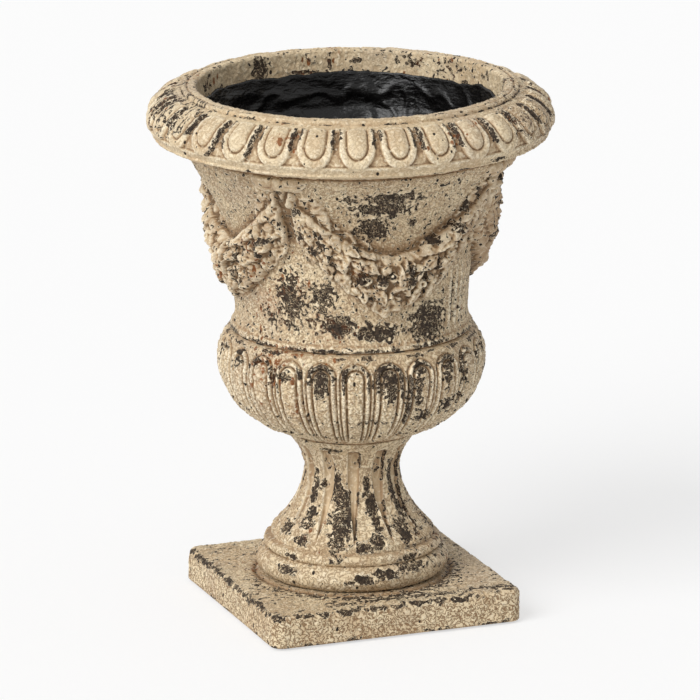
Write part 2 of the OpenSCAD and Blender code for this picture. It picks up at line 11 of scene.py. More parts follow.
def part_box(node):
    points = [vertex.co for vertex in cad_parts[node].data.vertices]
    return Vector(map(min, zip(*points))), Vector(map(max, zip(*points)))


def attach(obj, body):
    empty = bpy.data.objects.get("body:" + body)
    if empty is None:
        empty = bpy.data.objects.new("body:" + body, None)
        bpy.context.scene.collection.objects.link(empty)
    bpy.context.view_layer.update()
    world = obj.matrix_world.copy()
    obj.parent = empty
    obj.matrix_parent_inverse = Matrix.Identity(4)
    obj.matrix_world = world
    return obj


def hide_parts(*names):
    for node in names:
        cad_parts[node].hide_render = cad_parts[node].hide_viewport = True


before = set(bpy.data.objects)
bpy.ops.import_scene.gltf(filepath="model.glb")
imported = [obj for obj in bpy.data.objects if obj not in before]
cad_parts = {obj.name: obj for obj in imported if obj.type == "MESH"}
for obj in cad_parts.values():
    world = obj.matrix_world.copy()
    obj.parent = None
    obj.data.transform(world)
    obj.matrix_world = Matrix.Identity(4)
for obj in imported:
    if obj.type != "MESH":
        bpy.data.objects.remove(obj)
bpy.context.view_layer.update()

MM = 0.001
BODY = "root"
BAKE_MAP = "OFBake"


def box_mm(node):
    """Lowest and highest corner of a CAD node, in millimetres."""
    low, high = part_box(node)
    return np.array(low) / MM, np.array(high) / MM


# Heights and radii of the sections, read from the frame
PLINTH_LOW, PLINTH_HIGH = box_mm("plinth")
PEDESTAL_TOP = box_mm("bowl_bed")[0][2]
PEDESTAL_Z = box_mm("plinth_bed")[1][2]
BOWL_Z = box_mm("bowl_bed")[1][2]
BOWL_TOP = box_mm("shoulder_bed")[0][2]
NECK_Z = box_mm("shoulder_bed")[1][2]
NECK_TOP = box_mm("rim_bed")[0][2]
RIM_Z = box_mm("rim_bed")[1][2]
RIM_TOP = box_mm("rim")[1][2]
LINER_FLOOR = box_mm("floor_plug")[1][2]
LINER_TOP = box_mm("liner")[1][2]
NECK_TOP_R = box_mm("neck")[1][0]

# Turns of the ornament on the plinth, and the camera's turn, rise and roll, in degrees
BODY_TURN = -4.0
SWAG_TURN = -1.0
RIM_TURN = -0.8
CAMERA_TURN = -20.7
CAMERA_RISE = 15.2
CAMERA_ROLL = -0.25

# Outline of the pedestal, in millimetres
FOOT_R, FOOT_H = 72.0, 19.0
BEAD_R, BEAD_H = 66.5, 8.0
LOBE_R = 60.5
BAND_H = 5.0
WAIST_R, WAIST_H = 35.5, 54.0
COLLAR_R, COLLAR_H = 48.5, 8.0
STEM_H = PEDESTAL_TOP - PEDESTAL_Z - FOOT_H - BEAD_H
LOBES = 12
FLUTE_HALF = 4.4
FLUTE_DEPTH = 3.0

# Outline of the bowl
BOWL_R = 98.6
BOWL_H = BOWL_TOP - BOWL_Z
BULGE_H = 56.0
BOWL_CORE_R = 25.0
BOWL_OVAL_H = 57.5
BOWL_FOOT_R = 50.0
BOWL_BAND_H = 5.0
GADROONS = 24
TONGUE = 11.4
FLOOR_T = LINER_FLOOR - BOWL_Z

# Outline of the neck
WALL = 12.0
NECK_H = NECK_TOP - NECK_Z
THROAT_H = 15.0
THROAT_IN = 4.0
BEND_H = 81.0
BEND_SPREAD = 15.0
LEAN = 0.06
SHOULDER_IN = 2.5
TONGUE_H = 5.0
TONGUE_T = 5.0

# Outline of the rim
RIM_R = 150.0
RIM_H = RIM_TOP - RIM_Z
LIP_R = 124.5
LIP_W = 10.5
LIP_H = 3.5
LIP_STEP = 1.0
OVOLO_H = 22.5
OVOLO_START = 20.0
OVOLO_END = 97.0
FILLET_H = 10.0
FILLET_IN = 4.5
EGGS = 30
EGG_HALF = 13.4
EGG_LENGTH = 19.0
EGG_BORDER = 5.0

# Swags: their number, and their edges as heights above the neck's foot
SWAGS = 4
SWAG_MID_TOP = 75.0
SWAG_MID_LOW = 31.0
SWAG_END_TOP = 125.0
SWAG_END_LOW = 88.0
SWAG_TOP_POWER = 1.7
SWAG_LOW_POWER = 1.8
SWAG_OUT = 18.0
SWAG_END_OUT = 10.0
SWAG_HALF = 43.5
SWAG_R = 92.0
SWAG_REACH = SWAG_HALF * math.pi / 180 * SWAG_R
KNOT_RISE = 7.5

# Columns round each skin, and the step along its outline in millimetres
PLINTH_GRID = (900, 0.85)
PEDESTAL_GRID = (800, 0.6)
BOWL_GRID = (1000, 0.6)
NECK_GRID = (900, 0.8)
RIM_GRID = (1080, 0.75)
JOINT_GRID = (800, 0.5)
LINER_COLUMNS = 512

# Light: the sun's turn from the middle of the view to the viewer's right, its rise and its width, in
# degrees, and the strengths of sun and world
SUN_TURN = -43.0
SUN_RISE = 38.0
SUN_WIDTH = 40.0
SUN_STRENGTH = 2.45
WORLD_STRENGTH = 0.51


def smooth(low, high, value):
    """0 below low, 1 above high, and a smooth step between."""
    t = np.clip((value - low) / (high - low), 0, 1)
    return t * t * (3 - 2 * t)


def between(value, start, full, fade, end):
    """1 from full to fade, 0 outside start and end, and smooth steps between."""
    return smooth(start, full, value) * smooth(end, fade, value)


def ridge(value, width):
    """A smooth bump that is 1 at 0 and falls off over the given width."""
    return np.exp(-((value / width) ** 2))


def dome(value):
    """The upper half of a circle from -1 to 1, and 0 beyond it."""
    return np.sqrt(np.clip(1 - value * value, 0, 1))


def most(*values):
    """The largest of the values at each point."""
    return functools.reduce(np.maximum, values)


# Seeded smooth noise for the meshes. Cells are in millimetres, and the last number of a call is its seed.

LATTICE_STEPS = np.array([73856093, 19349663, 83492791], np.int64)
SEED_STEP = 668265263
HASH_STEP = 1274126177
HASH_MASK = 0xFFFFFFFF
NOISE_GAIN = 1.4


def hashed(cells, seed):
    """A whole number for each lattice cell, the same in every run."""
    key = (cells @ LATTICE_STEPS + seed * SEED_STEP) & HASH_MASK
    key = ((key ^ (key >> 13)) * HASH_STEP) & HASH_MASK
    return key ^ (key >> 16)


def noise(points, cell, seed=0):
    """Smooth noise from about -1 to 1, whose bumps are about one cell across."""
    scaled = points / cell
    base = np.floor(scaled)
    part = scaled - base
    base = base.astype(np.int64)
    fade = part * part * part * (part * (part * 6 - 15) + 10)
    total = np.zeros(points.shape[:-1])
    for corner in np.ndindex(2, 2, 2):
        key = hashed(base + np.array(corner), seed)
        gradient = np.stack([(key >> shift & 255) / 127.5 - 1 for shift in (0, 8, 16)], -1)
        away = part - np.array(corner)
        weight = np.prod(np.where(np.array(corner) == 1, fade, 1 - fade), -1)
        total += weight * (gradient * away).sum(-1)
    return total * NOISE_GAIN


def layered(points, cell, layers, seed=0):
    """Noise in layers, each half as strong and half as wide as the one before."""
    return sum(noise(points, cell / 2**n, seed + 17 * n) / 2**n for n in range(layers))


def blots(points, low, high, cell, seed):
    """Soft blots of about the cell's size, 1 where the noise is above high and 0 where it is below low."""
    return smooth(low, high, noise(points, cell, seed))


def worms(points, cell, seed=0):
    """A surface of short winding ridges, from 0 in the grooves to 1 on the ridges."""
    bent = points + 0.6 * cell * np.stack([noise(points, cell * 1.6, seed + n) for n in (1, 2, 3)], -1)
    return np.clip(3.0 * np.abs(noise(bent, cell, seed)), 0, 1)


def blurred(field, passes, wrap):
    """The field smoothed over its neighbours. With wrap, columns join round the axis."""
    out = field
    for _ in range(passes):
        padded = np.pad(out, ((1, 1), (0, 0)), mode="edge")
        out = (padded[:-2] + 2 * padded[1:-1] + padded[2:]) / 4
        padded = np.pad(out, ((0, 0), (1, 1)), mode="wrap" if wrap else "edge")
        out = (padded[:, :-2] + 2 * padded[:, 1:-1] + padded[:, 2:]) / 4
    return out


# Meshes

RING_MAP_EDGE = 0.002
EDGE_STEP = 0.6


def add_object(name, data):
    """A new object in the scene."""
    obj = bpy.data.objects.new(name, data)
    bpy.context.scene.collection.objects.link(obj)
    return obj


def make_mesh(name, points, faces, fields, uv):
    """A smooth-shaded object from points in millimetres, with one number per point in each field."""
    mesh = bpy.data.meshes.new(name)
    mesh.vertices.add(len(points))
    mesh.vertices.foreach_set("co", (points * MM).astype(np.float32).ravel())
    mesh.loops.add(faces.size)
    mesh.loops.foreach_set("vertex_index", faces.astype(np.int32).ravel())
    mesh.polygons.add(len(faces))
    mesh.polygons.foreach_set("loop_start", np.arange(0, faces.size, faces.shape[1], dtype=np.int32))
    mesh.update(calc_edges=True)
    mesh.polygons.foreach_set("use_smooth", np.ones(len(faces), bool))
    for field, values in fields.items():
        layer = mesh.attributes.new(field, "FLOAT", "POINT")
        layer.data.foreach_set("value", values.astype(np.float32).ravel())
    mesh.uv_layers.new(name=BAKE_MAP).data.foreach_set("uv", uv.astype(np.float32).ravel())
    mesh.validate()
    return add_object(name, mesh)


def ring_mesh(name, points, fields, arcs):
    """A closed mesh from a grid of points whose rows and columns both join up. The bake map has the
    given number of arcs of columns, one above the other."""
    rows, columns = points.shape[:2]
    steps = np.linalg.norm(np.roll(points[:, 0], -1, 0) - points[:, 0], axis=1)
    along = np.concatenate([[0], np.cumsum(steps)]) / steps.sum()
    i, j = np.meshgrid(np.arange(rows), np.arange(columns), indexing="ij")
    below, beside = (i + 1) % rows, (j + 1) % columns
    corners = [(i, j), (below, j), (below, beside), (i, beside)]
    faces = np.stack([(a * columns + b).ravel() for a, b in corners], 1)
    per_arc = math.ceil(columns / arcs)
    which = j // per_arc
    uv, inner = [], 1 - 2 * RING_MAP_EDGE
    for down, side in ((0, 0), (1, 0), (1, 1), (0, 1)):
        u = RING_MAP_EDGE + inner * (j - which * per_arc + side) / per_arc
        v = RING_MAP_EDGE + inner * along[i + down]
        uv.append(np.stack([u, (which + v) / arcs], -1))
    uv = np.stack(uv, 2).reshape(-1, 2)
    return make_mesh(name, points.reshape(-1, 3), faces, fields, uv)


def around(r, angle, z):
    """Points round the axis from their radii, angles and heights."""
    return np.stack([r * np.cos(angle), r * np.sin(angle), z], -1)


def stretch(start, end, step):
    """Points from start towards end, about one step apart, without the end itself."""
    start, end = np.array(start, float), np.array(end, float)
    count = max(1, round(float(np.linalg.norm(end - start)) / step))
    return [tuple(start + (end - start) * n / count) for n in range(count)]


def outline(*corners, step=1.0):
    """Points along straight stretches through the corners, without the last corner."""
    return [p for a, b in zip(corners, corners[1:]) for p in stretch(a, b, step)]


def arc(centre, radii, start, end, step):
    """Points along part of an oval. Angles run clockwise from the top, in degrees."""
    count = max(2, round(math.radians(abs(end - start)) * max(radii) / step))
    turns = [math.radians(start + (end - start) * n / count) for n in range(count)]
    return [(centre[0] + radii[0] * math.sin(t), centre[1] + radii[1] * math.cos(t)) for t in turns]


def rounded(out_r, top, radius, end):
    """Outline of a rounded upper edge, from its top to the given angle."""
    return arc((out_r - radius, top - radius), (radius, radius), 0, end, EDGE_STEP)


def roll(out_r, low, height, ends, step):
    """Outline of a half-round moulding, from one angle to the other."""
    half = height / 2
    return arc((out_r - half, low + half), (half, half), *ends, step)


class Skin:
    """A grid of points round the axis. Rows follow a closed outline that runs clockwise: down the
    outside and up the inside. Columns go round."""

    def __init__(self, profile, columns):
        self.profile = np.array(profile, float)
        ahead = np.roll(self.profile, -1, 0) - np.roll(self.profile, 1, 0)
        ahead /= np.maximum(np.linalg.norm(ahead, axis=1, keepdims=True), 1e-9)
        self.normal = np.stack([-ahead[:, 1], ahead[:, 0]], 1)
        self.r = np.repeat(self.profile[:, :1], columns, 1)
        self.z = np.repeat(self.profile[:, 1:], columns, 1)
        self.a = np.repeat((np.arange(columns) * 2 * math.pi / columns)[None], len(self.profile), 0)
        self.out = np.zeros_like(self.r)
        steps = np.linalg.norm(np.roll(self.profile, -1, 0) - self.profile, axis=1)
        self.along = np.concatenate([[0], np.cumsum(steps)])

    def points(self):
        """The points with their displacement, in millimetres."""
        out_r, up = self.out * self.normal[:, :1], self.out * self.normal[:, 1:]
        return around(self.r + out_r, self.a, self.z + up)

    def offset(self, turn, count):
        """Angle in degrees from the nearest of count equal places round the axis, the first at turn."""
        pitch = 360 / count
        return (np.degrees(self.a) - turn + pitch / 2) % pitch - pitch / 2


def view_angle(points):
    """Angle in degrees from the middle of the view to the viewer's right, for points."""
    angle = np.degrees(np.arctan2(points[..., 0], -points[..., 1])) - CAMERA_TURN
    return (angle + 180) % 360 - 180


# Worn patches: angle from the middle of the view to the viewer's right in degrees,
# height, half width and half height in millimetres, and strength

NECK_PATCHES = [
    (-1, 339, 8, 4, 1.0), (15, 339.5, 27, 5.5, 1.05), (12, 331, 27, 7, 1.1), (9, 314, 15, 10, 1.1),
    (26, 317, 4, 5, 1.0), (-30, 256, 13, 22, 1.05), (-14, 258, 11, 12, 1.05), (-7, 237, 14, 9, 1.15),
    (7, 232, 8, 5, 1.2), (16, 232, 10, 7, 1.3), (41, 236, 17, 15, 1.3),
]
BOWL_PATCHES = [
    (-13.3, 203, 11, 9, 1.3), (-13, 196, 6, 10, 1.3), (-3, 202, 4, 10, 1.2), (8, 198, 3, 9, 1.0),
    (13.5, 201, 7, 12, 1.3), (17, 196, 6, 14, 1.3), (22.5, 194, 3, 14, 1.2), (26, 183, 3, 22, 1.2),
    (31, 206, 7, 5, 1.2), (30, 190, 4, 16, 1.0), (46, 205, 7, 8, 1.2), (46, 193, 4, 9, 1.1),
    (57, 198, 4, 14, 1.1), (-36, 199, 5, 9, 1.0), (-30, 199, 5, 5, 1.2), (-58, 207, 6, 8, 1.1),
    (-47, 208, 5, 5, 1.0), (35, 167, 8, 5, 0.9), (48, 172, 8, 6, 1.0), (56, 178, 5, 6, 0.9),
]
STEM_PATCHES = [
    (-21, 130, 7, 1.5, 1.3), (-45, 110, 2.5, 3, 1.3), (-46, 95, 3.5, 13, 1.3), (-35, 100, 4, 3.5, 1.3),
    (-43, 79, 5, 8, 1.1), (-43, 71, 8, 4, 0.8), (-17, 102, 3.5, 9, 1.3), (-11, 91, 7, 11, 1.3),
    (-4, 77, 3, 17, 1.3), (-11, 71, 8, 19, 1.15), (18, 100, 3.5, 8, 1.3), (21, 88, 5, 10, 1.3),
    (23, 77, 4, 9, 1.3), (8, 59, 7, 4, 1.2), (20, 62, 6, 5, 1.3), (52, 101, 5, 20, 1.1),
    (54, 80, 5, 8, 1.2), (45, 66, 7, 11, 1.2), (85, 108, 5, 18, 1.2), (-78, 104, 4, 13, 1.1),
    (-40, 61, 6, 4, 1.3), (-42, 50, 6, 2.2, 1.3), (40, 50, 11, 2.4, 1.2), (-43, 40.5, 10, 3, 1.3),
    (4, 119, 3, 6, 1.1), (-30, 117, 2.5, 8, 1.1), (32, 113, 3, 9, 1.15), (-62, 66, 8, 5, 1.0),
    (-1, 36, 4, 2.2, 1.2), (7, 38, 9, 3.2, 1.3), (21, 41, 12, 3.6, 1.3), (39, 43, 17, 3.4, 1.05),
]
RIM_PATCHES = [
    (-66, 384, 20, 10, 0.4), (-78, 384, 14, 10, 0.4), (60, 386, 16, 9, 0.3), (75, 380, 18, 12, 0.3),
    (24, 362, 12, 1.6, 1.2), (34, 363, 6, 1.6, 1.1), (-30, 364, 3, 1.6, 1.1), (47, 366, 8, 1.8, 0.9),
]
BORE_PATCHES = [
    (-143, 391, 8, 12, 1.15), (-172, 389, 1.6, 12, 0.9), (-110, 388, 7, 7, 0.8), (158, 393, 8, 4, 0.7),
]
SWAG_PATCHES = [
    (-49, 335, 4, 3, 1.1), (-26, 344, 4, 2.5, 1.2), (-21, 329, 4, 3, 1.3), (-20, 309, 3, 6, 1.1),
    (-15, 298, 5, 4, 1.2), (-12, 305, 3, 6, 1.0), (-7, 288, 2.5, 3, 1.2), (5, 277, 4.5, 5, 1.4),
    (13, 275, 4.5, 5, 1.4), (25, 283, 4, 4, 1.1), (25, 275, 3.5, 7, 1.1), (32, 276, 3, 4, 1.2),
    (38, 283, 2.5, 6, 1.2), (32, 265, 3, 3, 1.0), (47, 310, 6, 5, 1.0), (50, 324, 3, 6, 1.2),
    (55, 334, 3.5, 3, 1.2), (-41, 296, 2.5, 10, 1.2), (-37, 301, 6, 2.5, 1.2), (-42, 320, 4, 3, 1.1),
    (-48, 292, 3, 5, 1.1), (-53, 284, 4, 7, 0.9), (-60, 300, 9, 14, 0.75), (-66, 322, 9, 14, 0.75),
    (-56, 268, 8, 8, 0.7), (36, 302, 5, 4, 1.0), (60, 300, 6, 16, 0.6), (-20, 283, 4, 3, 1.0),
    (78, 322, 10, 14, 0.75), (86, 292, 10, 10, 0.8),
]
RUST_PATCHES = [
    (-20, 390, 12, 6, 1.1), (-14, 381, 8, 8, 0.8), (41, 394, 12, 5, 1.1), (36, 388, 16, 6, 0.8),
    (60, 386, 12, 8, 0.8), (-38, 209, 22, 8, 1.2), (-42, 195, 14, 18, 0.9), (-26, 262, 9, 14, 1.0),
    (-44, 250, 20, 30, 1.0), (-22, 305, 12, 20, 0.7), (2, 280, 9, 9, 1.0), (-24, 216, 30, 6, 1.1),
    (-30, 64, 14, 10, 0.5), (60, 60, 10, 12, 0.6), (-26, 178, 8, 20, 0.9), (-40, 318, 7, 8, 1.1),
    (-44, 298, 12, 9, 1.0), (-12, 232, 26, 12, 0.9), (22, 386, 8, 8, 0.5),
]
HIDDEN_START, HIDDEN_END = 78.0, 282.0
HIDDEN_SHARE = 1.3
NEAR_PASSES, WIDE_PASSES = 5, 26


def patch_field(points, patches, seed, spread, scatter=0.9):
    """Wear from 0 to about 1: the listed patches, and others like them round the back."""
    angle = view_angle(points)
    radius = np.hypot(points[..., 0], points[..., 1])
    draw = np.random.default_rng(seed)
    unseen = [
        (draw.uniform(HIDDEN_START, HIDDEN_END), draw.uniform(*spread), *draw.uniform(0.7, 1.3, 2))
        for _ in range(round(len(patches) * HIDDEN_SHARE))
    ]
    picks = draw.integers(0, len(patches), len(unseen))
    rest = [
        (a, z, patches[n][2] * w, patches[n][3] * h, patches[n][4] * scatter)
        for (a, z, w, h), n in zip(unseen, picks)
    ]
    total = np.zeros(radius.shape)
    for turn, z, half_w, half_h, strength in [*patches, *rest]:
        across = np.radians((angle - turn + 180) % 360 - 180) * radius / half_w
        up = (points[..., 2] - z) / half_h
        total = np.maximum(total, strength * np.exp(-((across**2 + up**2) ** 1.6)))
    return total


def cast_fields(points, out, patches, seed, spread, vein, base=0.0, scale=0.8, wrap=True):
    """The fields that the paint reads: wear, rust, height above the surroundings near and wide (shown as
    painted highlight where raised and painted shade where sunk), and the strength of the fine winding lines.
    The scale is the height that counts as fully raised."""
    near, wide = (
        np.clip((out - blurred(out, passes, wrap)) / height, -1, 1)
        for passes, height in ((NEAR_PASSES, scale), (WIDE_PASSES, 2.2 * scale))
    )
    return {
        "wear": most(patch_field(points, patches, seed, spread), base),
        "rust": patch_field(points, RUST_PATCHES, seed + 5, spread, 0.7),
        # raised parts get a painted highlight and sunk parts painted shade
        "relief": np.clip(0.6 * near + 0.7 * wide, -1, 1),
        "hollow": np.clip(-wide, 0, 1),
        "vein": np.full(out.shape, vein),
    }


def finish_piece(piece, material, slot, *nodes):
    """Gives a piece its finish and its place on the body, in place of CAD nodes."""
    piece.data.materials.append(material)
    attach(piece, BODY)
    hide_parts(*nodes)


def finish_ring(name, points, fields, arcs, material, slot, node):
    """A finished piece from a grid of points that joins up both ways."""
    finish_piece(ring_mesh(name, points, fields, arcs), material, slot, node)


# Plinth, with a socket for the pedestal's spigot on top and a pocket for the lower nut underneath

PLINTH_HALF, PLINTH_Z, PLINTH_TOP = PLINTH_HIGH[0], PLINTH_LOW[2], PLINTH_HIGH[2]
CORNER_R, EDGE_R = 9.0, 4.0
HOLE_R = 5.0
SOCKET_R, SOCKET_D = 40.5, 4.0
POCKET_R, POCKET_D = 17.0, 11.5
CHAMFER, CHAMFER_H = 1.2, 1.0


def square_ring(half, corner, columns):
    """Points round a square with round corners, about evenly spaced, from the middle of the +X side."""
    flat = half - corner
    turns = np.linspace(0, math.pi / 2, 12)[1:]
    bend = [(flat + corner * math.cos(t), flat + corner * math.sin(t)) for t in turns]
    quarter = np.array([(half, 0), (half, flat), *bend, (0, half)])
    lengths = np.concatenate([[0], np.cumsum(np.linalg.norm(np.diff(quarter, axis=0), axis=1))])
    at = np.arange(columns // 4) / (columns // 4) * lengths[-1]
    sides = [np.stack([np.interp(at, lengths, quarter[:, n]) for n in (0, 1)], 1)]
    for _ in range(3):
        sides.append(np.stack([-sides[-1][:, 1], sides[-1][:, 0]], 1))
    return np.concatenate(sides)


def plinth_grid(columns, step):
    """Rings of the plinth's skin, from the bolt hole over the top, down the sides and under it. Each is
    given by its inset from the sides, its height, and how far it is from a square towards a circle."""
    reach = PLINTH_HALF - EDGE_R - SOCKET_R
    side_h = PLINTH_TOP - EDGE_R - PLINTH_Z - CHAMFER_H
    rings = [(PLINTH_HALF - r, PLINTH_TOP - SOCKET_D, 1) for r in np.linspace(HOLE_R, SOCKET_R, 9)]
    rings.append((PLINTH_HALF - SOCKET_R, PLINTH_TOP - SOCKET_D / 2, 1))
    for done in np.linspace(0, 1, round(reach / step)):
        rings.append((PLINTH_HALF - SOCKET_R - reach * done, PLINTH_TOP, (1 - done) ** 1.5))
    for t in np.radians(np.linspace(0, 90, 8)[1:]):
        rings.append((EDGE_R * (1 - math.sin(t)), PLINTH_TOP - EDGE_R * (1 - math.cos(t)), 0))
    for z in np.linspace(PLINTH_TOP - EDGE_R, PLINTH_Z + CHAMFER_H, round(side_h / step))[1:]:
        rings.append((0, z, 0))
    rings += [(CHAMFER / 3, PLINTH_Z + 0.3, 0), (CHAMFER, PLINTH_Z, 0)]
    for done in np.linspace(0, 1, 25)[1:]:
        rings.append((CHAMFER + (PLINTH_HALF - CHAMFER - POCKET_R) * done, PLINTH_Z, smooth(0.3, 1, done)))
    rings.append((PLINTH_HALF - POCKET_R, PLINTH_Z + POCKET_D / 2, 1))
    rings += [(PLINTH_HALF - r, PLINTH_Z + POCKET_D, 1) for r in np.linspace(POCKET_R, HOLE_R, 5)]
    grid = []
    for inset, z, roundness in rings:
        square = square_ring(PLINTH_HALF - inset, max(CORNER_R - inset, 1.0), columns)
        angle = np.arctan2(square[:, 1], square[:, 0])
        circle = np.stack([np.cos(angle), np.sin(angle)], 1) * (PLINTH_HALF - inset)
        grid.append(np.column_stack([square + (circle - square) * roundness, np.full(columns, z)]))
    return np.array(grid)


def build_plinth(material):
    """Slab with worn, rounded edges, and chipped paint along them and in front of the foot."""
    points = plinth_grid(*PLINTH_GRID)
    across = np.roll(points, -1, 1) - np.roll(points, 1, 1)
    normal = np.cross(np.gradient(points, axis=0), across)
    normal /= np.maximum(np.linalg.norm(normal, axis=-1, keepdims=True), 1e-9)
    x, y, z = np.moveaxis(points, -1, 0)
    radius = np.hypot(x, y)
    from_foot, up = radius - FOOT_R, z - PLINTH_Z
    shown = smooth(SOCKET_R + 4, SOCKET_R + 10, radius) * smooth(-0.1, 1.5, up)
    on_top = smooth(PLINTH_TOP - 2, PLINTH_TOP - 0.5, z)
    from_edge = np.hypot(PLINTH_HALF - np.maximum(np.abs(x), np.abs(y)), PLINTH_TOP - z)
    out = 0.5 * layered(points, 26, 3, 3) + 0.35 * noise(points, 7, 5)
    out += (0.45 + 0.15 * on_top) * worms(points, 3.0, 4)
    ragged = np.clip(noise(points, 8, 6), 0, 1) + 0.5 * np.clip(noise(points, 3, 7), 0, 1)
    out -= ridge(from_edge, 4.5) * (0.4 + ragged) + 1.4 * on_top * ridge(from_foot - 1, 1.5)

    front_edge = (y < 9 - PLINTH_HALF) * smooth(-84, -78, x) * smooth(56, 44, x + 6 * noise(points, 9, 12))
    other_edges = blots(points, -0.1, 0.5, 34, 9) * ((x > 0) | (y > 0))
    edges = most((x < 9 - PLINTH_HALF).astype(float), 0.95 * front_edge, 0.85 * other_edges)
    torn = from_edge + 3.2 * noise(points, 6, 13) + 1.5 * noise(points, 2.5, 18)
    by_front = ridge(y + PLINTH_HALF - 13 - 4 * noise(points, 20, 14), 4.5) * smooth(-70, -30, x)
    by_front *= 0.85 + 0.7 * noise(points, 12, 15)
    by_foot = ridge(from_foot - 6, 5) * (0.4 + 0.5 * noise(points, 18, 8))
    by_foot += 0.5 * ridge(from_foot - 8, 6) * np.cos(np.radians(view_angle(points) - 20))
    streaks = noise(points * np.array([0.35, 1.0, 1.0]), 3.4, 10)
    streaks = 0.06 + 0.6 * smooth(0.1, 0.4, streaks) * blots(points, -0.45, 0.2, 26, 11)
    base_line = 1.2 * ridge(up - 1.2, 1.3) * blots(points, -0.1, 0.5, 11, 16)
    wear_and_shade = most(1.15 * smooth(4.0, 1.4, torn) * edges, on_top * most(by_front, by_foot, streaks), base_line)
    fields = {
        "wear": np.clip(wear_and_shade, 0, 1.4),
        "rust": 0.35 * blots(points, 0.2, 0.8, 40, 17) * on_top,
        # painted highlight on raised spots, and painted shade round the pedestal's foot on the top and along
        # the bottom edge
        "relief": np.clip((out - blurred(out, NEAR_PASSES, True)) / 0.8, -1, 1),
        "hollow": np.clip(0.8 * on_top * ridge(from_foot - 1, 5) + 0.5 * ridge(up, 2.5), 0, 1),
        "vein": 0.95 - 0.35 * on_top,
    }
    points = points + (out * shown)[..., None] * normal
    finish_ring("plinth_cast", points, fields, 4, material, "cast", "plinth")


# Pedestal

BOSS_R, BOSS_H = 20.5, 8.0
COLLAR_EDGE = 1.2
SPIGOT_R, SPIGOT_H = 40.0, 2.5
FLUTE_END_H = STEM_H - COLLAR_H


def stem_r(h):
    """Radius of the stem's ridges at height h above the bead."""
    flare = WAIST_R + (LOBE_R - WAIST_R) * np.clip((WAIST_H - h) / (WAIST_H - BAND_H), 0, 1) ** 2
    neck = WAIST_R + (COLLAR_R - WAIST_R) * np.clip((h - WAIST_H) / (STEM_H - WAIST_H), 0, 1) ** 2
    return np.where(h < WAIST_H, flare, neck)


def pedestal_profile(step, stem_z):
    """Closed outline of the pedestal: collar, stem, bead, foot moulding, underside and bolt hole."""
    top, base = PEDESTAL_TOP, PEDESTAL_Z
    profile = outline((BOSS_R, top), (COLLAR_R - 2, top), step=3)
    profile += rounded(COLLAR_R, top, COLLAR_EDGE, 80)
    profile += [(float(stem_r(h)), stem_z + h) for h in np.arange(STEM_H - 1.0, 0.4, -step)]
    profile += roll(BEAD_R, base + FOOT_H, BEAD_H, (12, 168), step)
    profile += roll(FOOT_R, base, FOOT_H, (8, 178), step)
    under, boss_z = base - SPIGOT_H, top - BOSS_H
    profile += outline((FOOT_R - FOOT_H / 2 - 1, base), (SPIGOT_R, base), (SPIGOT_R, under), step=4)
    bore = [(SPIGOT_R, under), (HOLE_R, under), (HOLE_R, boss_z), (BOSS_R, boss_z), (BOSS_R, top)]
    return profile + outline(*bore, step=9)


